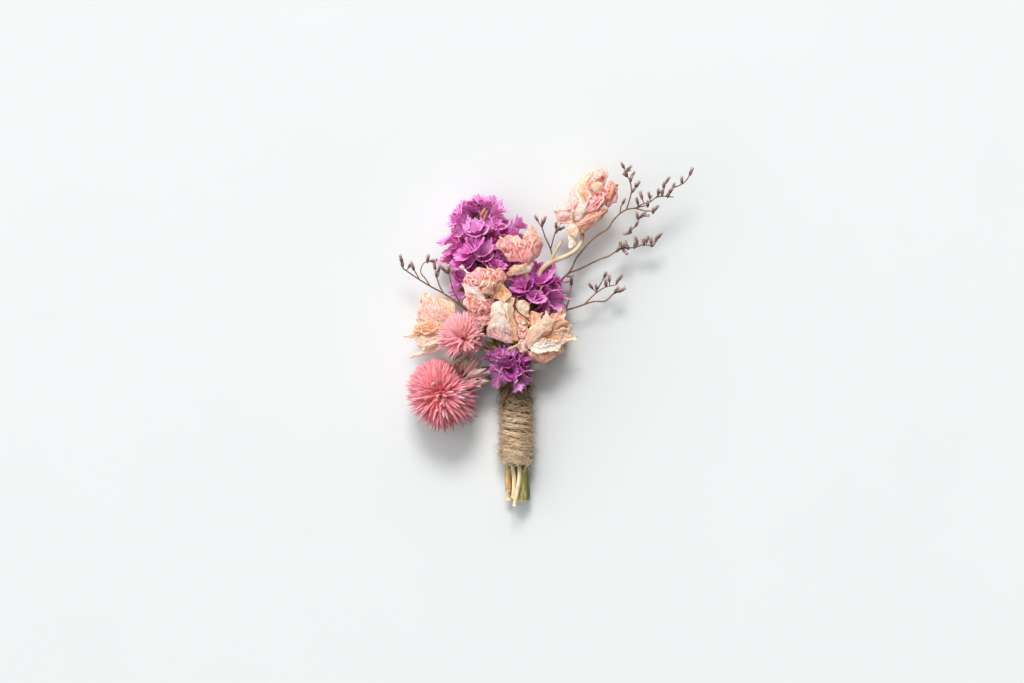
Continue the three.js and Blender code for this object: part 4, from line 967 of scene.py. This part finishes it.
            peach=0.15, dry=0.3, arch=-0.25, scraps=2),
        lobe([(4.1, 26.4, 14.6), (3.2, 30.4, 16), (4.8, 33.8, 17.6), (8.8, 36.6, 18.6),
                (9.7, 39.5, 17.4)],
            [(5.9, 27, 15), (7.6, 29.7, 16.4), (11, 32.2, 17), (13, 34.9, 16.4),
                (10.9, 38.2, 16.6)],
            blush=0.12, peach=0.6, dry=0.6, crumple=0.35, scraps=0),
    ],
}

# Short stalks and scraps that lie on a floret: their lines, end radii and shades
SCRAPS = {
    "larkspur_top": [
        ([(19.7, 69.6, 14.6), (19.3, 71.4, 15.8), (19.2, 72.8, 15.6)], [0.4, 0.3], 0.6),
    ],
    "larkspur_wide": [
        (
            [
                (0, 43.8, 16), (-0.5, 41.8, 16.4), (0.7, 39.1, 16.6), (3.2, 37.1, 17),
                (5, 35.6, 17.4),
            ],
            [0.26, 0.22], 1.0,
        ),
        ([(1.4, 28.4, 14.6), (-0.6, 27.3, 15.6), (-2.5, 26.5, 15.8)], [0.35, 0.5], 0.3),
        ([(13.6, 33.4, 14.8), (15.6, 34.9, 15.6), (17.4, 34.3, 15)], [0.5, 0.3], 0.6),
        ([(16.6, 34.2, 14.6), (19, 34.1, 14)], [0.4, 0.15], 0.5),
    ],
}

for number, (name, petals) in enumerate(FLORETS.items()):
    shape = Shape()
    for line, ends, shade in SCRAPS.get(name, []):
        tube(shape, smooth_line(line, 0.5), ends, 7, shade=shade)
    for i, (left, right, own) in enumerate(petals):
        petal(shape, left, right, seed=number * 20 + i + 1, **own)
    shape.make(f"{name}_petals", LARKSPUR, "larkspur_petal", name)


# Statice: papery pleated calyxes on a bracted middle


CALYX_ROWS = 7
CALYX_COLUMNS = 96
CALYX_T = 0.1
LOBES = 5
RIM_GRAINS = (3.0, 1.5, 0.7)  # of its waves, ruffles and pleats


def calyx(shape, mouth, foot, radius, seed, **values):
    """A wide ruffled funnel from its foot to its frayed mouth."""
    random = np.random.default_rng(seed)
    mouth, foot = np.asarray(mouth, float), np.asarray(foot, float)
    axis = unit(mouth - foot)
    length = min(np.linalg.norm(mouth - foot), radius * 1.7)
    foot = mouth - axis * length
    side = across_of(axis, random.normal(0, 1, 3))
    other = np.cross(axis, side)
    t = np.linspace(0, 1, CALYX_ROWS)[:, None] ** 0.8
    turn = turned(CALYX_COLUMNS)[None]
    ring = np.stack([np.cos(turn), np.sin(turn), 0 * turn], -1) * radius
    start = random.uniform(0, 6)
    shifts = zip(RIM_GRAINS, (0, 0.4, 0.7))
    wave, ruffle, pleats = (rough(ring, grain, seed + shift) for grain, shift in shifts)
    lobes = np.abs(np.cos(turn * LOBES / 2 + start)) ** 0.6
    open_share = eased(0.1, 0.9, t)
    reach = radius * (0.1 + 0.9 * t**1.25) * (1 + 0.14 * wave * t)
    reach = reach + (0.3 * ruffle + 0.45 * pleats + 0.2 * lobes) * open_share
    height = length * (t - 0.28 * t**4)
    height = height + (0.8 * wave + 0.6 * ruffle) * t**2.5 + 0.85 * pleats * t**2
    height = height + 0.4 * lobes * t**8
    squeeze = random.uniform(0.6, 0.95)
    lean = random.normal(0, 0.16, 2)
    x = reach * np.cos(turn) + lean[0] * height * t
    y = reach * np.sin(turn) * squeeze + lean[1] * height * t
    grid = placed(foot, (axis, height), (side, x), (other, y))
    values = {"along": t + 0 * turn, "across": turn / (2 * math.pi) + 0 * t, **values}
    sheet(shape, grid, CALYX_T, wrapped=True, tone=random.random(), **values)


def foot_for(spots, mouth):
    """The spot that a calyx grows from, with a leaning to those below it."""
    mouth = np.asarray(mouth, float)
    away = np.linalg.norm(spots - mouth, axis=1)
    away = away + 1.4 * np.maximum(0, spots[:, 1] - mouth[1] + 8.5)
    return spots[np.argmin(away)]


STATICE_HEADS = {
    "statice_main": {
        "lines": [
            [(-8.8, 50.4, 7.4), (-10.6, 57, 8.4), (-12, 64, 8.8), (-12.4, 71, 8.4)],
            [(-9.6, 53, 7.6), (-13.4, 51, 6.4), (-16, 47.4, 5.6)],
        ],
        "mouths": [
            (-21.8, 74, 10.6), (-16, 77.4, 11.6), (-10.2, 79, 11), (-4.2, 76.6, 12),
            (-20.2, 68.4, 13.6), (-13.4, 68.4, 17), (-8.4, 70.6, 15.6), (-3.6, 68.4, 14.6),
            (1.8, 68.4, 10.6), (-22.6, 63.6, 12), (-25.4, 59.4, 8.6), (-16.8, 62.6, 17),
            (-17.4, 57.2, 15.6), (-11.6, 61.4, 18), (-7.4, 57, 16.6), (-19.8, 52, 11.6),
            (-19.2, 46.6, 9.6), (-17, 73.4, 4.2), (-8.6, 74.4, 4.4), (-20.6, 66, 4.6),
            (-3.6, 66.6, 5), (-18.4, 57.6, 4), (-10.6, 56.6, 2), (-3.4, 60.6, 12.2),
            (-2.4, 55.2, 9.8), (-8.6, 53.4, 11.6), (-9, 66, 10), (-14, 64.4, 9.6),
            (-6.8, 60.4, 10), (-18.8, 75.4, 8.8), (-8, 78, 9.2), (-21.6, 60.6, 7), (-14, 57, 9),
            (0.2, 56.4, 9.4),
        ],
        "lilac": [0, 3, 4, 8],
    },
    "statice_right": {
        "lines": [[(7.4, 40.6, 6.6), (7.4, 46, 7.6), (7.2, 52.4, 7.8)]],
        "mouths": [
            (9.4, 57.2, 8), (13.6, 53.2, 8.6), (-2.2, 48.8, 11.6), (2.6, 49.8, 15.4),
            (2.4, 45.2, 13.4), (8, 47, 15.6), (11.6, 50.4, 13), (15.6, 48.4, 8.6),
            (14, 45, 11.4), (7, 40.6, 12), (9.4, 46.4, 2), (3, 50.6, 3), (12.2, 51, 3.4),
            (7, 51.8, 15), (5, 54, 9), (11.8, 41.6, 9),
        ],
        "lilac": [7, 8],
    },
    "statice_low": {
        "lines": [[(-1.6, 18.6, 11.2), (-2.4, 22, 11.6), (-3, 25.4, 11)]],
        "mouths": [
            (-9.4, 22.4, 12.8), (-8.8, 16.6, 13.6), (-3, 19.6, 16.6), (2.8, 14.6, 14.4),
            (4.8, 20.8, 13.6), (1.2, 26, 15), (-4.2, 25.6, 15.2), (-8, 28, 11.6),
            (-2.4, 22.4, 11),
        ],
        "lilac": [1, 3],
    },
}

# Small dry flowers inside the calyxes, from end to end
YELLOW_FLORETS = {
    "statice_low": [[(-5, 19.2, 16.2), (-4.6, 20.3, 17)]],
    "statice_main": [
        [(-5.8, 53.8, 15), (-4.9, 54.8, 15.8)],
        [(-12, 70.8, 13), (-11.4, 72.6, 14.8), (-10.2, 74.2, 15.4)],
        [(-10.8, 70.4, 13.4), (-9.6, 73.4, 15.2)],
    ],
    "statice_right": [[(8.2, 46.6, 15.4), (8.8, 47.6, 16.2)]],
}
# Loose green bracts: base, tip and width
LOOSE_BRACTS = {
    "statice_low": [
        ((-3.4, 24.8, 10.6), (-10.8, 29.4, 9.6), 3.4), ((-3.6, 26, 10.2), (-8.2, 31.6, 9), 3.0),
        ((1.6, 18, 12.4), (6.7, 18.4, 12.6), 0.9),
    ],
    "statice_main": [
        ((-6, 40, 10.4), (-11.8, 35, 9.6), 2.8), ((-6.6, 36.6, 9), (-13, 30.4, 8.6), 3.6),
        ((-9, 43.4, 10), (-12, 36, 9), 3.4),
    ],
}

CALYX_MOUTH_R = 4.3
FLOWERS_AT_A_MOUTH = 2
BRACTS_AT_A_FOOT = 3
LILAC_SIZE = 1.12
VIOLET = {"statice_main": 0.05, "statice_right": 0.5, "statice_low": 0.9}
# The greater, the fewer calyxes are pale
PALE_POWER = {"statice_main": 1.8, "statice_right": 2.8, "statice_low": 2.8}

for number, (name, head) in enumerate(STATICE_HEADS.items()):
    spots = np.concatenate([smooth_line(line, 0.5) for line in head["lines"]])
    random = np.random.default_rng(40 + number)
    calyxes = Shape()
    bracts = Shape()
    for i, mouth in enumerate(head["mouths"]):
        mouth = np.array(mouth, float)
        foot = foot_for(spots, mouth)
        lilac = i in head["lilac"]
        for k in range(FLOWERS_AT_A_MOUTH):
            apart = random.normal(0, 1.0, 3) * (k > 0)
            radius = CALYX_MOUTH_R * random.uniform(0.85, 1.05) * (0.85 if k else 1)
            radius = radius * (LILAC_SIZE if lilac else 1)
            violet = float(np.clip(VIOLET[name] + random.normal(0, 0.25), 0, 1))
            violet = violet * (not lilac)
            pale = 0.9 if lilac else random.random() ** PALE_POWER[name]
            seed = number * 200 + i * FLOWERS_AT_A_MOUTH + k
            end = foot + (mouth - foot) * (1 - 0.16 * (k > 0)) + 1.9 * apart
            calyx(calyxes, end, foot, radius, seed, violet=violet, pale=pale)
        axis = unit(mouth - foot)
        for _ in range(BRACTS_AT_A_FOOT):
            lean = across_of(axis, random.normal(0, 1, 3))
            base = foot + lean * 0.6
            tip = foot + axis * random.uniform(3.4, 5.2) + lean * random.uniform(1, 1.9)
            bract(bracts, base, tip, 1.9, -lean, 0.1, 0.2, tone=random.random())
    for line in head["lines"]:
        tube(bracts, smooth_line(line, 1), [1.1, 1.3, 1.0])
    for line in YELLOW_FLORETS[name]:
        tube(calyxes, smooth_line(line, 0.4), [0.25, 0.4, 0.25], 7, yellow=1.0)
    for base, tip, width in LOOSE_BRACTS.get(name, []):
        bract(bracts, base, tip, width, UP, 0.1, 0.3, tone=0.5)
    calyxes.make(f"{name}_calyxes", STATICE, "statice_calyx", name)
    bracts.make(f"{name}_bracts", STATICE_BRACT, "green_stem")


# Stems, from their cut ends through the binding to their flowers


AXIS_HEIGHT = 5.05
STRAIGHT = (-13.05, 0.925, 14.65)
OUTER_RING_R = 2.85
INNER_RING_R = 0.9


def bound(ring, degrees, cut_end, above):
    """The route of a stem that runs through the bundle at its own place."""
    turn = math.radians(degrees)
    x, z = ring * math.cos(turn), AXIS_HEIGHT + ring * math.sin(turn)
    return [*cut_end, *((x, y, z) for y in STRAIGHT), *above]


# Material, slot, radii from the cut end up, and route
STEMS = {
    "amaranth_small_stem": (
        DRY_STEM, "dry_stem", [0.72, 0.72, 0.7, 0.7],
        bound(OUTER_RING_R, 112.5, [(-0.9, -24.5, 6.9), (-0.6, -18.5, 7.3)], [
            (-2.9, 18.5, 8), (-7.2, 23.3, 9.2), (-11.2, 26.3, 11.4), (-13.5, 28, 13.4),
        ]),
    ),
    "larkspur_middle_stem": (
        DRY_STEM, "dry_stem", [0.68, 0.7, 0.8, 0.8],
        bound(OUTER_RING_R, 67.5, [(-0.5, -27, 9.3), (0.2, -23, 9.2), (1.2, -17, 8.4)], [
            (1.6, 18, 8.2), (1.4, 22, 8.4), (0, 28, 9.2), (-3, 35, 9.9), (-6, 40, 10.2),
            (-9.9, 44.3, 12.3),
        ]),
    ),
    "amaranth_third_stem": (
        ORANGE_STEM, "dry_stem", [0.98, 0.93, 0.8, 0.66],
        bound(OUTER_RING_R, 157.5, [(-2.6, -22.2, 6.3)], [
            (-2.7, 16.2, 6.2), (-4.2, 18.4, 6.8), (-7.4, 19.6, 7.1), (-12, 19.8, 7.2),
        ]),
    ),
    "amaranth_big_stem": (
        DRY_STEM, "dry_stem", [0.92, 0.93, 0.93, 0.8],
        bound(OUTER_RING_R, -157.5, [(-2.4, -25.4, 4.1)], [
            (-2.65, 16.2, 4.05), (-4.3, 17.6, 3.9), (-8, 17, 4.4), (-12.4, 15.2, 6.8),
            (-18.2, 13.4, 10),
        ]),
    ),
    "larkspur_right_stem": (
        OLIVE_STEM, "green_stem", [1.35, 0.93, 0.93, 0.8, 0.66],
        bound(OUTER_RING_R, 22.5, [(2.3, -25.8, 6.3), (2.4, -19, 6.2)], [
            (3.1, 24, 6.9), (4.6, 36, 8.2), (6.2, 46, 10), (8.6, 53.3, 12.4), (12, 56, 12.6),
            (17, 58, 12.2), (20.6, 60.4, 11.6), (22.2, 63, 11.3), (22.6, 66, 11.6),
        ]),
    ),
    "statice_right_stem": (
        GREEN_STEM, "green_stem", [0.8, 0.93, 0.93, 0.8],
        bound(OUTER_RING_R, -22.5, [(4, -25.3, 4.5), (3.7, -19, 4.4)], [
            (4.6, 24, 4), (6.4, 32, 4.6), (7.3, 38.6, 5.6), (7.4, 42.4, 6.8),
        ]),
    ),
    "larkspur_left_stem": (
        GREEN_STEM, "green_stem", [0.93, 0.93, 0.85, 0.66],
        bound(OUTER_RING_R, -112.5, [(-1.2, -24, 2.3)], [
            (-3.4, 20, 2.3), (-9.2, 25.5, 2.4), (-16.2, 29, 3.2), (-22, 32.6, 6.4),
        ]),
    ),
    "statice_low_stem": (
        GREEN_STEM, "green_stem", [0.62, 0.62],
        bound(INNER_RING_R, 90, [(0, -23.4, 5.9)], [
            (-0.1, 16, 6.4), (-0.3, 17.8, 7.7), (-0.8, 19, 9.3),
        ]),
    ),
    "statice_main_stem": (
        GREEN_STEM, "green_stem", [0.62, 0.62, 0.8, 0.93],
        bound(INNER_RING_R, 330, [(0.9, -24.6, 4.5)], [
            (0.2, 22, 4.3), (-2.4, 32, 4), (-5.8, 42, 4.8), (-8.2, 48.6, 6.2), (-9.1, 52, 7.4),
        ]),
    ),
}

# The stalks on them: their lines, and the radii at both ends
SIDE_STALKS = {
    "larkspur_right_stem": [
        ([(5.9, 45, 9.9), (4.2, 50, 12), (3, 55.2, 14.4)], [0.7, 0.6]),
        ([(11.4, 55.7, 12.6), (13.4, 59.6, 12.8), (15.6, 63.2, 12.6)], [0.6, 0.5]),
    ],
    "larkspur_middle_stem": [
        ([(0.2, 27, 9), (1.2, 28.6, 10.2), (3, 30.2, 11.2)], [0.6, 0.55]),
        ([(0.3, 26.2, 8.9), (-0.6, 27, 11.4), (-2.4, 26.6, 13.6)], [0.6, 0.6]),
        ([(-1.4, 31.6, 9.5), (-2.2, 32.3, 11.6)], [0.6, 0.55]),
    ],
}

for number, (name, (material, slot_name, radii, route)) in enumerate(STEMS.items()):
    shape = Shape()
    tube(shape, smooth_line(route, 0.8), radii, 20, ribs=8, depth=0.08, tone=number)
    for points, ends in SIDE_STALKS.get(name, []):
        line = smooth_line(points, 0.6)
        tube(shape, line, ends, 14, ribs=6, depth=0.06, start=80, tone=number + 0.5)
    shape.make(f"{name}_looks", material, slot_name, name)


# Sea lavender: twigs with small papery buds

RIGHT_TWIGS = [
    (
        bound(OUTER_RING_R, -67.5, [(1.2, -24.8, 2.5)], [
            (2.6, 22, 2.2), (6.2, 32, 2.3), (10.4, 41, 3.6), (15.4, 49.8, 6.4), (18.2, 53, 7.6),
            (21, 58, 9), (24, 61.8, 9.4), (27.6, 65, 10), (31.3, 67.6, 10.6), (33, 70.3, 11),
            (35.8, 72.8, 11.4), (38, 74, 11.8), (40.4, 74.3, 12),
        ]),
        [0.6, 0.5, 0.4, 0.3, 0.26],
    ),
    ([(35.4, 72.5, 11.3), (35.6, 75.2, 11.8)], [0.22, 0.2]),
    ([(37.7, 73.9, 11.7), (38.5, 77, 12.6), (39, 80, 13), (38.6, 83.2, 13.4), (37.3, 86, 13.6),
        (36.4, 88.2, 13.8)], [0.25, 0.2]),
    ([(39, 79.6, 13), (40.8, 82, 13.4)], [0.22, 0.2]),
    ([(40, 74.2, 12), (43, 75, 12.6), (44.6, 75.2, 13)], [0.25, 0.2]),
    ([(40.2, 74.2, 12), (43, 73.6, 11.6), (46.6, 73.3, 11.8)], [0.25, 0.2]),
    ([(43.6, 73.4, 11.6), (42, 71, 11), (40.7, 68.5, 10.4), (38.8, 66.5, 9.8)], [0.25, 0.2]),
    ([(40.2, 74.6, 12.2), (42.6, 75.6, 13.2), (45.5, 76.4, 13.4), (47.5, 77.8, 13.6),
        (50, 78.2, 13.6), (53.2, 78, 13.4)], [0.26, 0.2]),
    ([(47.2, 77.6, 13.6), (49.4, 80.2, 14.2), (50.4, 82.4, 14.6)], [0.22, 0.2]),
    ([(50.6, 78.2, 13.6), (53, 80.8, 14), (55.4, 81.8, 14.2), (57.2, 83, 14.4), (58.2, 84.4, 14.5)],
        [0.24, 0.2]),
    ([(17.9, 52.8, 7.5), (22, 54, 7.4), (27, 56.4, 7.4), (32, 58.4, 7.8), (35, 60.3, 8.2),
        (37, 60.9, 8.4), (40.3, 61, 8.6), (43, 61.9, 8.8), (46.2, 62, 9), (47.4, 63.4, 9.2)],
        [0.3, 0.2]),
    ([(6, 31.4, 2.3), (11.4, 35.4, 3.2), (15, 38.2, 5), (17, 39.6, 6), (22, 41.3, 7),
        (26.6, 42.7, 7.6), (30.5, 42.9, 7.8), (33.4, 45.4, 8)], [0.36, 0.25]),
    ([(16.8, 39.5, 6), (18.2, 44, 6.4), (18.8, 48.2, 5.4)], [0.28, 0.22]),
    ([(23.6, 41.9, 7.2), (27.4, 45.7, 8.2), (30.7, 47.7, 8.6), (34, 48.5, 9)], [0.26, 0.2]),
    ([(27.2, 45.5, 8.1), (29.2, 49.4, 9)], [0.24, 0.2]),
    ([(9.8, 39.8, 3.4), (12.6, 49, 2.6), (13.2, 55, 3.4), (11.8, 61, 5.6), (9.8, 65, 7),
        (8.9, 67.8, 7.6)], [0.32, 0.22]),
    ([(11.9, 60.7, 5.5), (13, 65.4, 7), (13.6, 67, 7.4)], [0.24, 0.2]),
]

LEFT_TWIGS = [
    (
        bound(INNER_RING_R, 210, [(-0.6, -23, 4.3)], [
            (-2, 20, 5.1), (-6, 27, 5.8), (-11.6, 34, 6.6), (-17.6, 40.4, 8), (-21, 43, 9),
            (-25, 45.6, 10), (-29, 47.8, 10.6), (-33, 50.1, 11.2), (-36, 52.3, 11.6),
            (-38.2, 53.8, 12),
        ]),
        [0.5, 0.42, 0.32, 0.24],
    ),
    ([(-24.7, 45.4, 10), (-26, 48, 11), (-26.9, 51, 12)], [0.26, 0.2]),
    ([(-28.8, 47.7, 10.6), (-30.8, 50.3, 11.6), (-32.3, 52.4, 12.2), (-31.4, 55.4, 12.8),
        (-29.4, 56.4, 13)], [0.24, 0.18]),
    ([(-32.8, 50, 11.2), (-34.4, 53, 12)], [0.22, 0.18]),
    ([(-18.4, 41, 8.3), (-20.6, 45, 10.6), (-22.2, 49.4, 12.4), (-22.7, 52, 13)], [0.26, 0.2]),
]

# The middles of the buds, seen from above
RIGHT_BUDS = [
    (36.5, 76.5), (39.7, 80.2), (41, 82), (38.8, 84), (39.5, 85.5), (37.2, 86), (36.1, 88.5),
    (38, 87.5), (41, 76.5), (42.3, 78.5), (45, 78.5), (44.5, 75.5), (46.8, 73.5), (47.5, 74.3),
    (43, 72), (44, 71.8), (41.2, 71.5), (41, 69), (38.8, 67), (38, 66), (48, 79.5),
    (49.5, 79.5), (50, 82), (51, 83.5), (51.5, 79), (52.3, 80), (53.2, 81.5), (56, 83.5),
    (59, 86.3), (34.8, 60.5), (35.5, 62), (36.5, 61.5), (37.5, 62), (38, 61), (37, 59.7),
    (40.5, 62), (41, 63.5), (43.5, 63), (44.7, 64), (46, 63.2), (46.5, 62), (47.8, 64),
    (48.7, 65), (18.9, 49.5), (18.2, 51.5), (34.2, 46.5), (36, 46.5), (27.3, 47.5), (25.4, 48),
    (30.5, 49), (31.7, 50.5), (34.5, 49.7), (35.5, 50.8), (30.3, 51.8), (9, 69.5), (7, 71),
    (9.7, 70.5), (14, 67), (15.5, 67.5), (13.7, 68.5),
]
LEFT_BUDS = [
    (-38.4, 55.5), (-36, 55), (-35, 54.5), (-39, 57), (-29.8, 57), (-28, 56.5), (-27.5, 54.5),
    (-27, 52), (-26, 53.5), (-25, 54), (-24, 53), (-22.8, 53.5),
]

BUD_R = 0.52
BUD_LENGTH = 2.9
BUD_T = 0.1
BUD_TEETH = 5
BUD_WIDTHS = [0, 0.15, 0.4, 0.7, 0.9, 1], [0.25, 0.7, 1, 0.8, 0.95, 0.9]
PAIRED = 0.45  # of the buds


def bud(shape, base, toward, size, seed):
    """A narrow ribbed calyx with a paler, toothed mouth."""
    random = np.random.default_rng(seed)
    axis = unit(toward)
    side = across_of(axis)
    other = np.cross(axis, side)
    t = np.linspace(0, 1, 8)[:, None]
    turn = turned(2 * BUD_TEETH)[None]
    profile = np.interp(t, *BUD_WIDTHS)
    tooth = np.cos(turn * BUD_TEETH)
    reach = BUD_R * size * profile * (1 + 0.1 * tooth * t)
    height = BUD_LENGTH * size * (t + 0.1 * tooth * eased(0.8, 1, t))
    bend = random.normal(0, 0.12, 2) * size
    x = reach * np.cos(turn) + bend[0] * t**2
    y = reach * np.sin(turn) + bend[1] * t**2
    grid = placed(base, (axis, height), (side, x), (other, y))
    sheet(shape, grid, BUD_T, wrapped=True, along=t + 0 * turn, tone=random.random())


def spray(name, twigs, buds, seed):
    random = np.random.default_rng(seed)
    wood, flowers = Shape(), Shape()
    lines = []
    for points, radii in twigs:
        points = [np.array(p, float) for p in points]
        if lines:
            spots = np.concatenate(lines)
            near = np.argmin(np.linalg.norm(spots - points[0], axis=1))
            points[0] = spots[near]
        line = smooth_line(points, 0.7)
        bent = np.stack([rough(line, 4.0, seed + k) for k in range(3)], -1)
        slim = eased(15, 22, line[:, 1])[:, None]
        line = line + 0.12 * bent * slim
        lines.append(line)
        tube(wood, line, radii, 7, tone=random.random())
    spots = np.concatenate(lines)
    for i, (x, y) in enumerate(buds):
        reach = np.linalg.norm(spots[:, :2] - (x, y - 0.7), axis=1)
        near = spots[np.argmin(reach)]
        middle = np.array([x, y, near[2] + random.uniform(0.1, 0.9)])
        toward = unit(middle - near + [0, 0.35, 0])
        size = random.uniform(0.85, 1.1)
        base = middle - toward * BUD_LENGTH * size * 0.5
        if np.linalg.norm(base - near) > 0.3:
            tube(wood, smooth_line([near, (near + base) / 2, base], 0.4), [0.16, 0.2], 6)
        bud(flowers, base, toward, size, seed + i)
        if random.random() < PAIRED:
            aside = unit(toward + random.normal(0, 0.45, 3) * [1, 1, 0.4])
            bud(flowers, base, aside, size * random.uniform(0.6, 0.85), seed + i + 900)
    wood.make(f"{name}_twigs", TWIG, "sea_lavender", name)
    flowers.make(f"{name}_buds", LAVENDER, "sea_lavender")


spray("sea_lavender_right", RIGHT_TWIGS, RIGHT_BUDS, seed=300)
spray("sea_lavender_left", LEFT_TWIGS, LEFT_BUDS, seed=400)


# The leaf between the amaranths

leaf = Shape()
petal(
    leaf,
    [(-12.4, 26.4, 12.2), (-15, 24.8, 13.6), (-18, 22.6, 14), (-21, 21, 13.4)],
    [(-13.4, 28, 12), (-16.4, 26.6, 13.2), (-19.8, 24.4, 13.4), (-21.6, 21.6, 13.2)],
    seed=41,
    crumple=0.5,
    scraps=0,
)
leaf.make("amaranth_leaf_blade", LEAF, "leaf", "amaranth_leaf")


# The twine: loosely spun turns round the bundle

TURN_MIDDLES = [-11.5, -9, -7, -5.15, -3.05, -0.65, 1.65, 3.5, 5.65, 8.4, 11.1, 13.6]
TWINE_R = 1.12
HELIX_R = 4.3
STRAND_R = 0.27
STRANDS = 11
TURN_SLANT = 0.09
STEPS_PER_TURN = 48


def twine_middle():
    """The middle line of the twine."""
    turns = len(TURN_MIDDLES)
    at = np.linspace(0, turns, turns * STEPS_PER_TURN)
    knots = np.arange(turns + 1)
    places = np.array([TURN_MIDDLES[0] - 0.6, *TURN_MIDDLES])
    y = np.interp(at, knots, places)
    turn = at * 2 * math.pi
    wobble = 0.22 * np.sin(at * 2.1) + 0.16 * np.sin(at * 5.3 + 1)
    x = HELIX_R * np.cos(turn)
    z = AXIS_HEIGHT + HELIX_R * np.sin(turn)
    return np.stack([x, y + wobble - TURN_SLANT * x, z], -1)


def spun(shape, line, wide, strands, radius, seed):
    """A loose yarn: strands that wander inside it and cross each other."""
    random = np.random.default_rng(seed)
    _, side, other = frames_along(line)
    reach = lengths_along(line)
    for k in range(strands):
        places = np.stack([reach, reach * 0 + 50 * k, reach * 0], -1)
        shift = 0.8 * rough(places, 9.0, seed + 0.2) + 0.35 * rough(places, 2.5, seed + 0.3)
        turn = k * 2 * math.pi / strands + reach / 14 + 2.5 * shift
        out = wide * (0.62 + 0.3 * rough(places, 6.0, seed + 0.6))
        out = out * (1 - 0.2 * eased(4.5, 7, line[:, 1]))
        strand = placed(line, (side, out * np.cos(turn)), (other, out * np.sin(turn)))
        thick = radius * random.uniform(0.7, 1.25)
        tube(shape, strand, [thick, thick], 6, tone=random.random())


twine = Shape()
middle = twine_middle()
spun(twine, middle, TWINE_R, STRANDS, STRAND_R, seed=70)
loose_end = [(-5.2, 4.6, 7.4), (-4.9, 7.4, 9.0), (-3.4, 11.4, 10.6), (-1.6, 15.6, 10.9)]
spun(twine, smooth_line(loose_end, 0.5), wide=0.6, strands=5, radius=0.2, seed=71)
twine.make("twine_turns", TWINE, "jute", "twine_binding")


# Fibres that stand off the twine

FIBRES = 1400


def from_axis(point):
    return point * [1, 0, 1] - [0, 0, AXIS_HEIGHT]


def fibres(count, seed):
    """Fine fibres that follow the turns for a while and then stand off."""
    random = np.random.default_rng(seed)
    shape = Shape()
    ahead, _, _ = frames_along(middle)
    for _ in range(count):
        i = random.integers(4, len(middle) - 4)
        out = unit(from_axis(middle[i]))
        start = middle[i] + out * TWINE_R * random.uniform(0.6, 0.95)
        start = start + [0, random.uniform(-1, 1), 0]
        length = random.uniform(1.5, 7)
        stand = random.uniform(-0.05, 0.2) + 0.5 * (random.random() > 0.88)
        sideways = random.normal(0, 0.6)
        flow = ahead[i] * random.choice([-1, 1])
        points = [start]
        for _ in range(4):
            last = points[-1]
            radial = unit(from_axis(last))
            tangent = unit(flow - radial * (flow @ radial))
            step = tangent + radial * stand + np.array([0, sideways, 0])
            step = step + random.normal(0, 0.2, 3)
            spot = last + unit(step) * length / 4
            sunk = HELIX_R + TWINE_R * 0.8 - np.linalg.norm(from_axis(spot))
            spot = spot + radial * max(0, sunk)
            points.append(spot)
            flow = tangent
        line = smooth_line(points, length / 8)
        thick = random.uniform(0.04, 0.1)
        tube(shape, line, [thick, thick * 0.6], 3, tone=random.random())
    return shape


fuzz = fibres(FIBRES, seed=60)
stray = [(-4.9, 7.4, 8), (-7.4, 6.6, 8.6), (-10, 5.6, 8), (-12.2, 4.9, 6.8)]
tube(fuzz, smooth_line(stray, 0.6), [0.1, 0.06], 5, tone=0.8)
fuzz.make("twine_fibres", FIBRE, "jute")


# Floor and light

FLOOR_HALF = 1.5
WINDOW_FROM = (-0.07, 0.67, 0.74)
WINDOW_DISTANCE = 6.0
WINDOW_SIZE = (2.2, 1.5)
WINDOW_POWER = 250.0
SKY_LEAST = 0.03
SKY_EVEN = 0.37
SKY_OVERHEAD = 0.4
SKY_FROM_TOP = 0.7
SKY_FROM_LEFT = 1.1

floor_mesh = bpy.data.meshes.new("floor")
corners = [(-1, -1, 0), (1, -1, 0), (1, 1, 0), (-1, 1, 0)]
floor_mesh.from_pydata(
    [tuple(c * FLOOR_HALF for c in corner) for corner in corners], [], [(0, 1, 2, 3)]
)
floor = bpy.data.objects.new("floor", floor_mesh)
bpy.context.scene.collection.objects.link(floor)
floor_paint = Paint("floor", 0.55, "dfe1e0", specular=0.2)
floor_paint.coat("e3e5e4", floor_paint.grain(60, 2.0))
floor_mesh.materials.append(floor_paint.done())

window = bpy.data.objects.new("window", bpy.data.lights.new("window", "AREA"))
bpy.context.scene.collection.objects.link(window)
window.data.shape = "RECTANGLE"
window.data.size, window.data.size_y = WINDOW_SIZE
window.data.energy = WINDOW_POWER
window.location = Vector(WINDOW_FROM) * WINDOW_DISTANCE
window.rotation_euler = Vector(WINDOW_FROM).to_track_quat("Z", "Y").to_euler()

world = bpy.data.worlds.new("studio")
world.use_nodes = True
sky = world.node_tree


def sky_math(operation, *values):
    node = sky.nodes.new("ShaderNodeMath")
    node.operation = operation
    for i, value in enumerate(values):
        if isinstance(value, float):
            node.inputs[i].default_value = value
        else:
            sky.links.new(value, node.inputs[i])
    return node.outputs[0]


toward = sky.nodes.new("ShaderNodeSeparateXYZ")
sky.links.new(sky.nodes.new("ShaderNodeTexCoord").outputs["Generated"], toward.inputs[0])
level = SKY_EVEN
for axis, share in (("Z", SKY_OVERHEAD), ("Y", SKY_FROM_TOP), ("X", -SKY_FROM_LEFT)):
    level = sky_math("MULTIPLY_ADD", toward.outputs[axis], share, level)
level = sky_math("MAXIMUM", level, SKY_LEAST)
sky.links.new(level, sky.nodes["Background"].inputs["Strength"])
sky.nodes["Background"].inputs["Color"].default_value = (0.97, 0.985, 1, 1)
bpy.context.scene.world = world
bpy.context.scene.view_settings.view_transform = "Standard"
